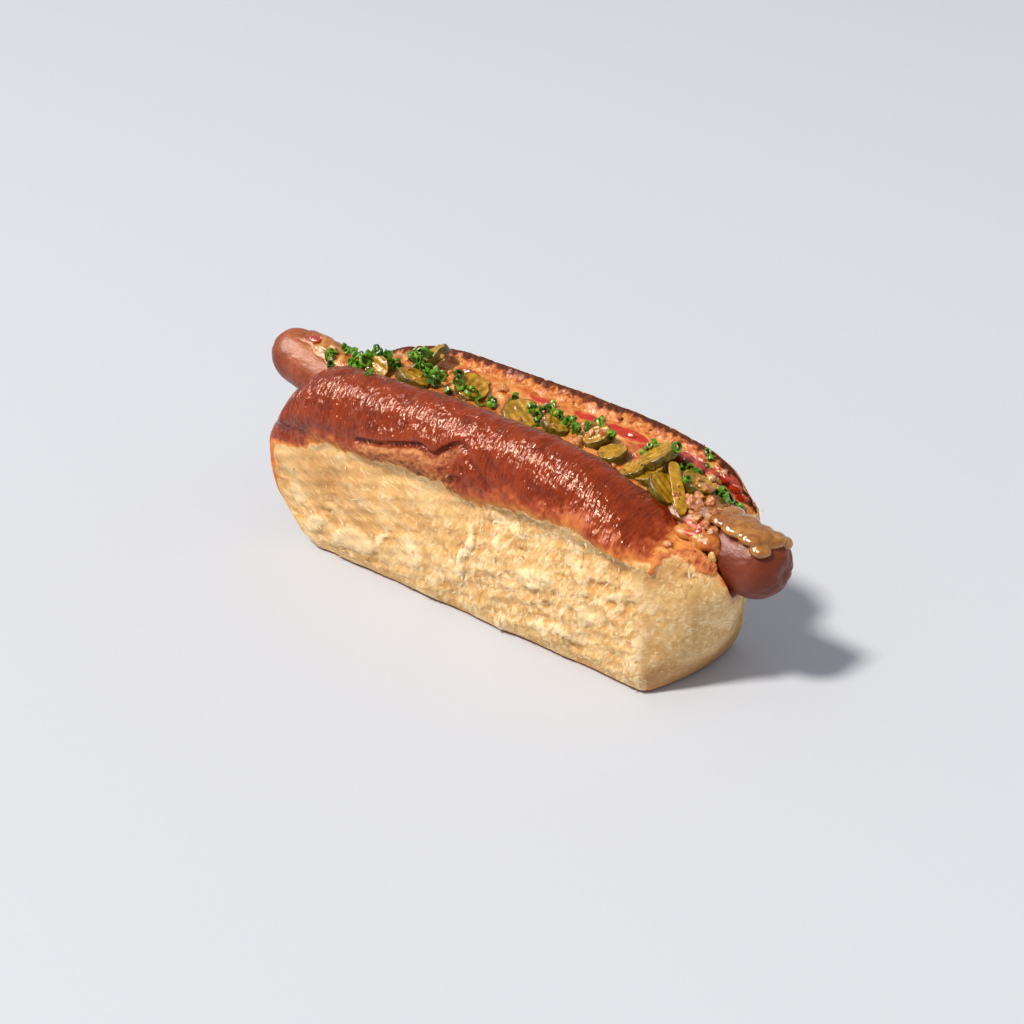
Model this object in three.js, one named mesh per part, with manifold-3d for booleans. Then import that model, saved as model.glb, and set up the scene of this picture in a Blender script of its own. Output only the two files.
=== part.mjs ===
// A loaded hot dog: a frankfurter in a top-split brioche bun, under a spiced mayonnaise dressing with
// pickle slices, chives, crisp crumbs and a spoonful of soft onion relish.
//
// Frame, in millimetres: +X along the bun, +Y across it towards the half that leans out, +Z up.
// The bun stands on z = 0, and the origin is under the middle of the whole.

import * as THREE from 'three';
import { mergeVertices } from 'three/addons/utils/BufferGeometryUtils.js';
import Module from 'manifold-3d';

const wasm = await Module();
wasm.setup();

// ---------------------------------------------------------------- driving dimensions

const BUN_LEFT = -80.6; // near wall's left end
const BUN_RIGHT = 69.4; // near wall's right end
const BUN_WALL_NEAR = -24.5; // torn side wall, under the crust
const BUN_WALL_FAR = 23.4;
const SHOULDER = 42; // height where walls end and the two crusted halves begin
const CROWN_FULL = 67; // top of the near half, in the middle of the bun
const RIM_FULL = 62.5; // top of the far half's cut edge
const END_SLANT = 0.15; // the right end is cut askew, mm along X for each mm across
const SLANT_FROM = 50; // where that slant starts
const BULGE_FROM = 55; // the ends bulge outwards from here on, left and right
const BULGE_HALF_WIDTH = 21;
const BULGE_Y = -4;
const LEFT_BULGE_SHARE = 0.25;

const SAUSAGE_Y = 1.8;
const SAUSAGE_RADIUS = 10.2;
const SAUSAGE_LEFT = -92; // centres of its two round ends
const SAUSAGE_RIGHT = 92.1;
const GROOVE_RADIUS = SAUSAGE_RADIUS + 1.1;
const GROOVE_TOP = 44.5; // the groove's axis stays below this where the sausage bends up
const GAP = 0.35; // left between two pieces that touch
const LIFT_FADES_AT = 27; // height where the baked end's lifted heel is back to plain

const CENTRE_X = 0.08; // middle of the whole, in the numbers used below
const CENTRE_Y = -0.85;

// Heights along the bun, as [x, z].
const crownHeight = along([
  [-82, 44], [-77, 50], [-71.5, 56], [-66.5, 60.3], [-61.5, 63], [-53, 65.2], [-34, 65.9],
  [-15, 67], [21, 67], [39, 65.5], [52, 61.5], [59, 57.5], [64, 52.5], [68, 47.5], [72, 45],
]);
const rimHeight = along([
  [-84, 44], [-77, 49], [-72, 52.8], [-65, 56.4], [-56, 59.2], [-47, 61.3], [-33, 62.5], [1, 62.5],
  [31, 62], [48, 60.5], [55, 59], [59, 57.4], [63, 54.5], [67, 49], [72, 44],
]);
const crustEdge = along([
  [-80.6, 33], [-76.2, 35.5], [-67.8, 37.1], [-59.8, 40.4], [-52.5, 43.4], [-37.6, 43], [-23.8, 46.1],
  [-3.5, 46.5], [0.1, 43.9], [8.1, 42.9], [19, 45.8], [30, 47.5], [49, 49], [56.1, 46.9], [66.2, 44.4],
]);
const endBulge = along([[0, 3.5], [12, 8], [22, 12], [33, 14.5], [42, 13.5], [50, 5], [60, 1]]);
const heelLift = along([[-82, 17], [-79, 13.5], [-74, 7.5], [-69, 3.2], [-62, 0]]);
const sausageHeight = along([
  [-102.5, 54.3], [-91.6, 53], [-70.6, 48.4], [-40.6, 45], [-0.6, 43.5], [39.4, 42.5], [69.4, 42], [102, 42],
]);

// ---------------------------------------------------------------- small tools

// A smooth curve through [x, value] pairs that never overshoots them, as a function of x.
function along(pairs) {
  const slopes = pairs.map((pair, i) => {
    if (i === 0 || i === pairs.length - 1) return 0;
    const before = (pair[1] - pairs[i - 1][1]) / (pair[0] - pairs[i - 1][0]);
    const after = (pairs[i + 1][1] - pair[1]) / (pairs[i + 1][0] - pair[0]);
    return before * after <= 0 ? 0 : (2 * before * after) / (before + after);
  });
  return (x) => {
    if (x <= pairs[0][0]) return pairs[0][1];
    const i = pairs.findIndex((pair) => pair[0] >= x) - 1;
    if (i < 0) return pairs[pairs.length - 1][1];
    const span = pairs[i + 1][0] - pairs[i][0];
    const t = (x - pairs[i][0]) / span;
    const ends = (2 * t ** 3 - 3 * t ** 2 + 1) * pairs[i][1] + (3 * t ** 2 - 2 * t ** 3) * pairs[i + 1][1];
    const tangents = (t ** 3 - 2 * t ** 2 + t) * slopes[i] + (t ** 3 - t ** 2) * slopes[i + 1];
    return ends + tangents * span;
  };
}

const clamp = THREE.MathUtils.clamp;
const ramp = (value, low, high) => THREE.MathUtils.smoothstep(value, low, high);
const bump = (value, centre, width) => Math.exp(-(((value - centre) / width) ** 2));

// Seeded draws, the same each time.
function dice(seed) {
  let state = seed;
  return (low, high) => {
    state = (state * 1664525 + 1013904223) % 4294967296;
    return low + ((high - low) * state) / 4294967296;
  };
}

// Gentle lumps about 12 mm across, between -1 and 1.
function lumps(u, v) {
  const broad = Math.sin(0.41 * u + 1.3 * Math.sin(0.23 * v + 1)) * Math.cos(0.37 * v + 0.8);
  const fine = Math.sin(0.93 * u - 0.71 * v + 2) * Math.cos(0.83 * v + 0.52 * u);
  return 0.62 * broad + 0.38 * fine;
}

// Triangles that close an end ring. The ring is two chains between the points that lie first and last
// along its length, and the triangles zip one chain to the other.
function zipped(ring) {
  const count = ring.length;
  const lengths = ring.map((point) => point.station ?? point.y);
  const first = lengths.indexOf(Math.min(...lengths));
  const last = lengths.indexOf(Math.max(...lengths));
  const chain = (step) => {
    const corners = [first];
    while (corners.at(-1) !== last) corners.push((corners.at(-1) + step + count) % count);
    return corners;
  };
  const [ahead, back] = [chain(1), chain(-1)];
  const faces = [];
  let [i, j] = [0, 0];
  while (i < ahead.length - 1 || j < back.length - 1) {
    const aheadIsNext = lengths[ahead[i + 1]] <= lengths[back[j + 1]];
    const moveAhead = j === back.length - 1 || (i < ahead.length - 1 && aheadIsNext);
    const next = moveAhead ? ahead[i + 1] : back[j + 1];
    const face = [ahead[i], next, back[j]];
    if (new Set(face).size === 3) faces.push(face);
    if (moveAhead) i += 1;
    else j += 1;
  }
  return faces;
}

// A closed skin over rings of points that all have the same count.
function loft(rings) {
  const count = rings[0].length;
  const positions = rings.flat().flatMap((point) => [point.x, point.y, point.z]);
  const index = [];
  for (let ring = 0; ring < rings.length - 1; ring += 1) {
    for (let k = 0; k < count; k += 1) {
      const a = ring * count + k;
      const b = ring * count + ((k + 1) % count);
      index.push(a, b, a + count, b, b + count, a + count);
    }
  }
  const base = (rings.length - 1) * count;
  for (const [a, b, c] of zipped(rings[0])) index.push(a, c, b);
  for (const [a, b, c] of zipped(rings.at(-1))) index.push(base + a, base + b, base + c);
  return solid(positions, index);
}

// A manifold solid from positions and triangles, turned right way out if it is inside out.
function solid(positions, index) {
  const make = (triangles) => new wasm.Manifold(new wasm.Mesh({
    numProp: 3,
    vertProperties: new Float32Array(positions),
    triVerts: new Uint32Array(triangles),
  }));
  const made = make(index);
  if (made.volume() > 0) return made;
  return make([...index].reverse());
}

// A manifold solid from a closed three.js geometry, at a place.
function placed(geometry, matrix) {
  const bare = geometry.clone().applyMatrix4(matrix);
  bare.deleteAttribute('normal');
  bare.deleteAttribute('uv');
  const merged = mergeVertices(bare, 1e-4);
  return solid([...merged.attributes.position.array], [...merged.index.array]);
}

function meshOf(body, name, color, roughness) {
  const { vertProperties, triVerts } = body.getMesh();
  const geometry = new THREE.BufferGeometry();
  geometry.setAttribute('position', new THREE.BufferAttribute(new Float32Array(vertProperties), 3));
  geometry.setIndex(new THREE.BufferAttribute(new Uint32Array(triVerts), 1));
  geometry.computeVertexNormals();
  const material = new THREE.MeshStandardMaterial({ color, roughness, metalness: 0 });
  const mesh = new THREE.Mesh(geometry, material);
  mesh.name = name;
  return mesh;
}

// ---------------------------------------------------------------- bun

// Control points of the bun's cross-section, as (y, z), round from the middle of the base.
function bunControls(x) {
  const near = (crownHeight(x) - SHOULDER) / (CROWN_FULL - SHOULDER);
  const far = (rimHeight(x) - SHOULDER) / (RIM_FULL - SHOULDER);
  const nearUp = (z) => SHOULDER + (z - SHOULDER) * near;
  const farUp = (z) => SHOULDER + (z - SHOULDER) * far;
  const nearOut = (y) => BUN_WALL_NEAR + (y - BUN_WALL_NEAR) * Math.min(1, 2 * near);
  const farOut = (y) => BUN_WALL_FAR + (y - BUN_WALL_FAR) * Math.min(1, 2 * far);
  const lipIn = 3 * ramp(x, 54, 60) * (1 - ramp(x, 60, 66));
  const axis = Math.min(sausageHeight(x), GROOVE_TOP);
  const clear = (y, z) => {
    const [dy, dz] = [y - SAUSAGE_Y, z - sausageHeight(x)];
    const out = Math.max(1, GROOVE_RADIUS / Math.hypot(dy, dz));
    return [SAUSAGE_Y + dy * out, sausageHeight(x) + dz * out];
  };
  const groove = (z, side) => {
    const half = Math.sqrt(Math.max(0, GROOVE_RADIUS ** 2 - (z - axis) ** 2));
    return [SAUSAGE_Y + side * half, z];
  };
  return [
    [-1.2, 0], [-18.2, 0], [-22.7, 4], [-24.7, 14], [-25.5, 28], [BUN_WALL_NEAR, SHOULDER],
    [nearOut(-26.5), nearUp(48)], [nearOut(-26.8), nearUp(54)], [-22.7, nearUp(63)],
    [-15.2, nearUp(67)], clear(-8.7 + lipIn, nearUp(65.5)), clear(-6 + lipIn, nearUp(61)),
    clear(-7.7 + 0.5 * lipIn, nearUp(53)),
    groove(Math.min(axis + 1, nearUp(53) - 1.5), -1), groove(axis - 7.6, -1),
    groove(axis - GROOVE_RADIUS, 1), groove(axis - 7.6, 1), groove(Math.min(axis + 1, farUp(54) - 1.5), 1),
    clear(17.3, farUp(54)), [Math.min(farOut(23), 23), farUp(62.5)], [farOut(25.1), farUp(61.5)],
    [farOut(26.8), farUp(54)], [farOut(25.6), farUp(46)], [BUN_WALL_FAR, SHOULDER],
    [22.8, 26], [21.8, 12], [19.8, 3.5], [15.3, 0],
  ];
}

// The line down the middle of the U that the section makes, which the ends close on.
function bunCore(x) {
  const nearTip = Math.min(crownHeight(x) - 6, 58);
  const farTip = Math.min(rimHeight(x) - 4, 58);
  const corners = [
    [-16, nearTip], [-16.5, 30], [-12, 17], [12, 17], [17.5, 28], [20.5, 42], [22.3, farTip],
  ];
  return corners.map(([y, z]) => new THREE.Vector2(y, z));
}

// The nearest point of a polyline, with how far along it that lies.
function nearestOn(polyline, point) {
  let best = null;
  let passed = 0;
  for (let i = 0; i < polyline.length - 1; i += 1) {
    const run = polyline[i + 1].clone().sub(polyline[i]);
    const t = point.clone().sub(polyline[i]).dot(run) / run.lengthSq();
    const foot = polyline[i].clone().addScaledVector(run, clamp(t, 0, 1));
    const distance = foot.distanceTo(point);
    const atAnEnd = (i === 0 && t < 0) || (i === polyline.length - 2 && t > 1);
    const station = passed + run.length() * (atAnEnd ? t : clamp(t, 0, 1));
    if (!best || distance < best.distance) best = { foot, distance, station };
    passed += run.length();
  }
  return best;
}

// How far the near side stands out of its plain section: torn crumb, the lumpy torn lip under the
// crust, and the crease over that lip.
function nearRelief(x, z) {
  const edge = crustEdge(x);
  const inside = ramp(x, BUN_LEFT, BUN_LEFT + 6) * (1 - ramp(x, BUN_RIGHT - 6, BUN_RIGHT));
  const crumb = 0.7 * lumps(x + 0.4 * z, z) * ramp(z, 2, 8) * (1 - ramp(z, edge - 2, edge));
  const overhang = 0.7 * bump(z, edge + 2.5, 2.5);
  const tornPart = ramp(x, -42, -34) * (1 - ramp(x, 2, 12));
  const crease = along([[-36, 50.2], [-24.6, 53.6], [-13.3, 58], [-6.8, 56.3], [6, 57]])(x);
  const lip = 1.1 * bump(z, 0.5 * (edge + crease), 3.2) - 1.4 * bump(z, crease, 1.6);
  return inside * (crumb + overhang + tornPart * lip);
}

const SPLITS = 2; // points to each span of the section's curve

// One section of the bun, drawn in to its core by a share `inset`, and `grow` mm larger all round.
function bunRing(x, inset, grow = 0) {
  const controls = bunControls(x).map(([y, z]) => new THREE.Vector3(0, y, z));
  const curve = new THREE.CatmullRomCurve3(controls, true, 'catmullrom', 0.5);
  const core = bunCore(x);
  const steps = controls.length * SPLITS;
  const outline = [];
  for (let k = 0; k < steps; k += 1) {
    const point = curve.getPoint(k / steps);
    const flat = new THREE.Vector2(point.y, Math.max(0, point.z));
    if (flat.x < -16) flat.x -= nearRelief(x, flat.y);
    outline.push(flat);
  }
  return outline.map((corner, k) => {
    const heading = outline[(k + 1) % steps].clone().sub(outline[(k + steps - 1) % steps]).normalize();
    const outward = new THREE.Vector2(-heading.y, heading.x);
    const { foot, station } = nearestOn(core, corner);
    const flat = corner.clone().lerp(foot, inset).addScaledVector(outward, grow);
    const lift = heelLift(x) * clamp(1 - flat.y / LIFT_FADES_AT, 0, 1);
    const place = new THREE.Vector3(x + endShift(x, flat.x, flat.y), flat.x, flat.y + lift);
    return Object.assign(place, { station });
  });
}

// Both ends bulge outwards, most under the sausage, and the right end is askew as well.
function endShift(x, y, z) {
  const crossing = Math.max(0, 1 - ((y - BULGE_Y) / BULGE_HALF_WIDTH) ** 2);
  const toRight = clamp((x - BULGE_FROM) / (BUN_RIGHT - BULGE_FROM), 0, 1) ** 1.5;
  const toLeft = clamp((x + BULGE_FROM) / (BUN_LEFT + BULGE_FROM), 0, 1) ** 1.5;
  const askew = END_SLANT * (y - BUN_WALL_NEAR) * clamp((x - SLANT_FROM) / (BUN_RIGHT - SLANT_FROM), 0, 1);
  return askew + crossing * endBulge(z) * (toRight - LEFT_BULGE_SHARE * toLeft);
}

// How an end rounds off: each row is [mm past the last full section, share drawn in to the core].
const END_ROUND = [[2, 0.02], [4, 0.06], [5.6, 0.14], [6.8, 0.3], [7.6, 0.52], [8.2, 0.76], [8.5, 0.96]];
const LEFT_ROUND_SHARE = 0.85;
const RIGHT_ROUND_SHARE = 0.6; // the right end rounds off in less length than the left
const BODY_LEFT = BUN_LEFT + 5.2;
const BODY_RIGHT = BUN_RIGHT - 3.2;
const BODY_STEPS = 40;

function bunSolid(grow) {
  const rings = [];
  for (const [out, inset] of END_ROUND) {
    rings.unshift(bunRing(BODY_LEFT - LEFT_ROUND_SHARE * out - grow, inset, grow));
  }
  for (let i = 0; i <= BODY_STEPS; i += 1) {
    rings.push(bunRing(THREE.MathUtils.lerp(BODY_LEFT, BODY_RIGHT, i / BODY_STEPS), 0, grow));
  }
  for (const [out, inset] of END_ROUND) {
    rings.push(bunRing(BODY_RIGHT + RIGHT_ROUND_SHARE * out + grow, inset, grow));
  }
  return loft(rings);
}

// ---------------------------------------------------------------- sausage

const SAUSAGE_SIDES = 18;
const SAUSAGE_STEPS = 17;
const END_STEPS = 5;
const PUCKER_DEPTH = 1.4; // the tied end draws in by this much

function sausageRing(x, radius) {
  const ring = [];
  for (let k = 0; k < SAUSAGE_SIDES; k += 1) {
    const turn = (2 * Math.PI * k) / SAUSAGE_SIDES;
    const y = SAUSAGE_Y + radius * Math.cos(turn);
    ring.push(new THREE.Vector3(x, y, sausageHeight(x) + radius * Math.sin(turn)));
  }
  return ring;
}

function sausageRadius(x) {
  return SAUSAGE_RADIUS - 1.1 * (1 - ramp(x, -100, -60)) + 0.12 * Math.sin(0.21 * x);
}

function sausageSolid(grow) {
  const rings = [];
  for (let step = 0; step < END_STEPS; step += 1) {
    const turn = (Math.PI / 2) * (1 - (step + 0.35) / (END_STEPS + 0.35));
    const radius = sausageRadius(SAUSAGE_LEFT) + grow;
    rings.push(sausageRing(SAUSAGE_LEFT - radius * Math.sin(turn), radius * Math.cos(turn)));
  }
  for (let step = 0; step <= SAUSAGE_STEPS; step += 1) {
    const x = THREE.MathUtils.lerp(SAUSAGE_LEFT, SAUSAGE_RIGHT, step / SAUSAGE_STEPS);
    rings.push(sausageRing(x, sausageRadius(x) + grow));
  }
  for (let step = END_STEPS - 1; step >= 0; step -= 1) {
    const turn = (Math.PI / 2) * (1 - (step + 0.35) / (END_STEPS + 0.35));
    const radius = sausageRadius(SAUSAGE_RIGHT) + grow;
    const drawnIn = PUCKER_DEPTH * bump(step, 0, 0.8);
    rings.push(sausageRing(SAUSAGE_RIGHT + radius * Math.sin(turn) - drawnIn, radius * Math.cos(turn)));
  }
  return loft(rings);
}

// ---------------------------------------------------------------- dressing

// It fills the groove over the sausage, from wall to wall, and thins to a cap on top of the sausage
// where that comes out of the bun.
const DRESSING_LEFT = -89;
const DRESSING_RIGHT = 79;
const DRESSING_STEPS = 34;
const TOP_POINTS = 9;
const UNDER_POINTS = 8;
const dressingDepth = along([
  [-89, 0.7], [-82, 1.3], [-66, 2], [-46, 2.8], [0, 3.2], [60, 3.2], [72, 3], [79, 2.6],
]);
const nearEdgeTurn = along([[-89, 112], [-66, 128], [-56, 125], [62, 125], [70, 130], [79, 140]]);
const farEdgeTurn = along([[-89, 62], [-66, 42], [-56, 30], [66, 30], [79, 28]]);
const meetsNearWall = (x) => ramp(x, -68, -56) * (1 - ramp(x, 60, 66));
const meetsFarWall = (x) => ramp(x, -68, -56) * (1 - ramp(x, 74, 79));
const EDGE_DEPTH = 0.8; // of the cap's free edges
const SEAT = 0.5; // between the dressing and the sausage

// The wall of the groove at a height: side -1 is the near one, 1 the far one.
function wallAt(ring, z, side) {
  const [first, last] = side < 0 ? [10, 14] : [16, 20];
  const wall = ring.slice(first * SPLITS, last * SPLITS + 1);
  if (side < 0) wall.reverse();
  for (let k = 0; k < wall.length - 1; k += 1) {
    if (z <= wall[k + 1].z || k === wall.length - 2) {
      const t = clamp((z - wall[k].z) / (wall[k + 1].z - wall[k].z), 0, 1);
      return THREE.MathUtils.lerp(wall[k].y, wall[k + 1].y, t) - side * (GAP + 0.25);
    }
  }
  return SAUSAGE_Y;
}

// Height of the dressing over the sausage's top where it lies in the groove.
function dressingRise(x, y) {
  const across = (y - SAUSAGE_Y) / 12;
  return dressingDepth(x) + 1.1 * across ** 2 + 0.5 * across + 0.45 * lumps(1.3 * x, 1.6 * y);
}

function dressingRing(x) {
  const inBun = x - endShift(x - endShift(x, 8, 50), 8, 50);
  const bun = bunRing(inBun, 0);
  const axis = sausageHeight(x);
  const inner = sausageRadius(x) + SEAT;
  const onSausage = (degrees, out) => {
    const turn = THREE.MathUtils.degToRad(degrees);
    const reach = inner + out;
    return new THREE.Vector2(SAUSAGE_Y + reach * Math.cos(turn), axis + reach * Math.sin(turn));
  };
  const nearTurn = nearEdgeTurn(x);
  const farTurn = farEdgeTurn(x);
  const nearLow = onSausage(nearTurn, 0).y;
  const farLow = onSausage(farTurn, 0).y;
  const top = axis + inner + dressingDepth(x);
  const nearHigh = Math.min(top + 0.3, crownHeight(inBun) - 6);
  const farHigh = Math.min(top + 2.2, rimHeight(inBun) - 3);
  const points = [];
  for (let k = 0; k < TOP_POINTS; k += 1) {
    const t = k / (TOP_POINTS - 1);
    const thick = EDGE_DEPTH + (dressingDepth(x) - EDGE_DEPTH) * Math.sin(Math.PI * t) ** 0.5;
    const cap = onSausage(THREE.MathUtils.lerp(nearTurn, farTurn, t), thick);
    const y = THREE.MathUtils.lerp(wallAt(bun, nearHigh, -1), wallAt(bun, farHigh, 1), t);
    const rim = THREE.MathUtils.lerp(nearHigh, farHigh, t);
    const z = THREE.MathUtils.lerp(rim, axis + inner + dressingRise(x, y), Math.sin(Math.PI * t));
    const meets = THREE.MathUtils.lerp(meetsNearWall(x), meetsFarWall(x), t);
    points.push(cap.lerp(new THREE.Vector2(y, z), meets));
  }
  for (const t of [0.4, 0.8]) {
    const z = THREE.MathUtils.lerp(farHigh, farLow + 0.4, t);
    const cap = onSausage(farTurn, EDGE_DEPTH * (1 - t));
    points.push(cap.lerp(new THREE.Vector2(wallAt(bun, z, 1), z), meetsFarWall(x)));
  }
  for (let k = 0; k < UNDER_POINTS; k += 1) {
    points.push(onSausage(THREE.MathUtils.lerp(farTurn, nearTurn, k / (UNDER_POINTS - 1)), 0));
  }
  const foot = onSausage(nearTurn, EDGE_DEPTH * 0.5);
  points.push(foot.lerp(new THREE.Vector2(wallAt(bun, nearLow, -1), nearLow), meetsNearWall(x)));
  return points.map((point) => new THREE.Vector3(x, point.x, point.y));
}

function dressingSolid() {
  const rings = [];
  for (let i = 0; i <= DRESSING_STEPS; i += 1) {
    rings.push(dressingRing(THREE.MathUtils.lerp(DRESSING_LEFT, DRESSING_RIGHT, i / DRESSING_STEPS)));
  }
  return loft(rings);
}

// Height of the dressing's top at a place, kept `margin` inside its edges.
function dressingTop(x, y, margin) {
  const top = dressingRing(clamp(x, DRESSING_LEFT, DRESSING_RIGHT)).slice(0, TOP_POINTS);
  const held = clamp(y, top[0].y + margin, top.at(-1).y - margin);
  const k = clamp(top.findIndex((point) => point.y >= held) - 1, 0, TOP_POINTS - 2);
  const t = (held - top[k].y) / (top[k + 1].y - top[k].y);
  return new THREE.Vector3(x, held, THREE.MathUtils.lerp(top[k].z, top[k + 1].z, t));
}

// ---------------------------------------------------------------- pickles

// Slices of small pickle, tucked into the dressing. Each row: x, y and z of its middle, its radius, its
// thickness, and the bearing and the rise, in degrees, of the way that its face looks.
const PICKLE_SLICES = [
  [-53.1, -0.4, 60.3, 4.5, 3, -86, 38],
  [-40.2, 1.6, 59.9, 5.7, 3, 47, 65],
  [-42.6, 14.4, 62.9, 5.4, 3, -152, 55],
  [-21.2, 8.3, 60.2, 5.4, 2.8, -25, 58],
  [1.9, 4.8, 59.2, 6, 2.8, -27, 64],
  [13.9, 6.1, 58.8, 4.5, 2.8, 38, 63],
  [28.9, 8.6, 58.9, 4.6, 2.8, -126, 67],
  [38.3, 3.9, 58.1, 4.6, 2.8, -139, 80],
  [48.2, 0.9, 57, 4, 2.6, -148, 70],
  [52.5, 7.6, 60.4, 6.3, 2.8, -156, 61],
  [53.3, 2.6, 57.2, 5, 2.8, -145, 64],
  [60.6, -1.3, 55.9, 5.5, 2.8, 10, 49],
  [66.6, 7.2, 56.2, 5.5, 2.8, 37, 65],
];
const PICKLE_SIDES = 14;
const PICKLE_BEVEL = 0.5;

// One long wedge of pickle leans out of the dressing, from its head down to its foot.
const WEDGE_HEAD = [58.7, 6, 61.3];
const WEDGE_FOOT = [70.6, -5.3, 53];
const WEDGE_RADII = [2.8, 3.6];
const WEDGE_TURN = 0.5;

function pickleSlice([x, y, z, radius, thickness, bearing, rise], grow) {
  const half = thickness / 2 + grow;
  const rim = radius + grow;
  const profile = [[0, -half], [rim - PICKLE_BEVEL, -half], [rim, PICKLE_BEVEL - half],
    [rim, half - PICKLE_BEVEL], [rim - PICKLE_BEVEL, half], [0, half]];
  const lathe = new THREE.LatheGeometry(profile.map(([r, h]) => new THREE.Vector2(r, h)), PICKLE_SIDES);
  const [turn, up] = [bearing, rise].map(THREE.MathUtils.degToRad);
  const facing = new THREE.Vector3(Math.cos(turn), Math.sin(turn), Math.tan(up));
  return placed(lathe, standing(new THREE.Vector3(x, y, z), facing, 0));
}

function pickleWedge(grow) {
  const [head, foot] = [new THREE.Vector3(...WEDGE_HEAD), new THREE.Vector3(...WEDGE_FOOT)];
  const length = head.distanceTo(foot) + 2 * grow;
  const [slim, wide] = WEDGE_RADII.map((corner) => corner + 2 * grow); // its sides are half as far out
  const middle = head.clone().lerp(foot, 0.5);
  const wedge = new THREE.CylinderGeometry(slim, wide, length, 3);
  return placed(wedge, standing(middle, head.sub(foot), WEDGE_TURN));
}

// The placement that stands a shape's own Y axis along a direction, turned about it.
function standing(middle, direction, turn) {
  const upright = new THREE.Vector3(0, 1, 0);
  const rotation = new THREE.Quaternion().setFromUnitVectors(upright, direction.clone().normalize());
  rotation.multiply(new THREE.Quaternion().setFromAxisAngle(upright, turn));
  return new THREE.Matrix4().compose(middle, rotation, new THREE.Vector3(1, 1, 1));
}

// ---------------------------------------------------------------- onion relish

// Soft lumps over the sausage's right end. Each row: x, y, z and the three half widths.
const RELISH_LUMPS = [
  [81.5, 2, 53.2, 4.5, 6.2, 2], [87, 0.3, 53, 5.8, 6.2, 2.3], [92.6, -0.2, 52.2, 5, 6, 2.2],
  [96.4, 2.6, 50.6, 3.6, 4.4, 2.2], [96.2, -3.2, 49.8, 3.4, 3.2, 2], [98.7, 5.9, 49, 2.1, 2.1, 2],
];

function relishSolid(grow) {
  return joined(RELISH_LUMPS.map(([x, y, z, ...halves]) => {
    const size = new THREE.Vector3(...halves.map((half) => half + grow));
    const place = new THREE.Matrix4().compose(new THREE.Vector3(x, y, z), new THREE.Quaternion(), size);
    return placed(new THREE.IcosahedronGeometry(1, 1), place);
  }));
}

// ---------------------------------------------------------------- chives and crumbs

const CHIVE_RADIUS = 1.6;
const CHIVE_LENGTH = 2.6;
const CHIVE_SIDES = 5;
// Where chopped chives lie: x, y, how far they spread, and how many.
const CHIVE_CLUSTERS = [
  [-72.8, -2.8, 1.5, 2], [-69, 3.7, 2, 2], [-63, 3, 3, 7], [-57, 5, 2.5, 4], [-52, 5.4, 2, 3],
  [-47, 11, 2, 3], [-41, 10.5, 2.5, 3], [-34, 7, 2, 2], [-25, 10, 2.5, 4], [-15, 11, 3, 4],
  [5.5, 9, 2.5, 4], [11.5, 12.5, 2.5, 3], [17, 11, 2, 2], [22, 13, 2.5, 3], [46, 11, 2, 2],
  [46, 15, 1.5, 2], [59, 13, 2, 3], [66, 2.5, 1, 1], [73, 13, 3, 6], [76, -6, 1, 1],
];
const CRUMB_RADIUS = 1.8;
const CRUMBS = [
  [30.9, 5], [62, 15], [66, 14], [70.9, -1.5], [70.7, 2.1], [74.9, 2.1], [75, -4], [77.5, -2],
  [-31, 12], [-14, 3],
];

function choppedToppings() {
  const draw = dice(7);
  const pieces = [];
  for (const [x, y, spread, count] of CHIVE_CLUSTERS) {
    for (let k = 0; k < count; k += 1) {
      const middle = dressingTop(x + draw(-spread, spread), y + draw(-spread, spread), 2.2);
      middle.z += draw(0.1, 1.3);
      const direction = new THREE.Vector3(draw(-1, 1), draw(-1, 1), draw(-0.4, 0.9));
      const rod = new THREE.CylinderGeometry(CHIVE_RADIUS, CHIVE_RADIUS, CHIVE_LENGTH, CHIVE_SIDES);
      pieces.push(placed(rod, standing(middle, direction, 0)));
    }
  }
  for (const [x, y] of CRUMBS) {
    const middle = dressingTop(x, y, 2);
    const direction = new THREE.Vector3(draw(-1, 1), draw(-1, 1), draw(-1, 1));
    pieces.push(placed(new THREE.IcosahedronGeometry(CRUMB_RADIUS), standing(middle, direction, 0)));
  }
  return joined(pieces);
}

function joined(pieces) {
  return pieces.reduce((whole, piece) => whole.add(piece));
}

const WELD = 0.08; // steps finer than this are left out

// The largest of the bodies that a cut leaves.
function largest(body) {
  return body.decompose().reduce((best, piece) => (piece.volume() > best.volume() ? piece : best));
}

// ---------------------------------------------------------------- assembly

const bun = bunSolid(0).simplify(WELD);
// The near lip curls over at the right end, where growing it isn't enough to keep the gap.
const bunAndGap = bunSolid(GAP).add(bun.translate(0, GAP, 0)).add(bun.translate(GAP, 0, GAP));
const sausageAndGap = sausageSolid(GAP);
const pickles = [...PICKLE_SLICES.map((row) => (grow) => pickleSlice(row, grow)), pickleWedge];
const relishAndGap = relishSolid(GAP);

const nodes = [
  meshOf(bun, 'bun', 0xd9a45c, 0.6),
  meshOf(sausageSolid(0), 'sausage', 0xa85a40, 0.35),
];

let dressing = dressingSolid().add(choppedToppings()).subtract(sausageAndGap).subtract(relishAndGap);
let taken = joined([bunAndGap, sausageAndGap]);
pickles.forEach((pickle, i) => {
  nodes.push(meshOf(largest(pickle(0).subtract(taken)).simplify(WELD), `pickle_${i + 1}`, 0xa3a046, 0.35));
  taken = taken.add(pickle(GAP));
  dressing = dressing.subtract(pickle(GAP));
});
dressing = largest(dressing).simplify(WELD).subtract(bunAndGap);
nodes.push(meshOf(largest(dressing), 'dressing', 0xe0955a, 0.25));
nodes.push(meshOf(largest(relishSolid(0).subtract(taken)).simplify(WELD), 'onion_relish', 0xb98a45, 0.2));

const hotDog = new THREE.Group();
for (const node of nodes) {
  node.geometry.translate(-CENTRE_X, -CENTRE_Y, 0);
  hotDog.add(node);
}

export default hotDog;
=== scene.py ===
import math
import random

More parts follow.
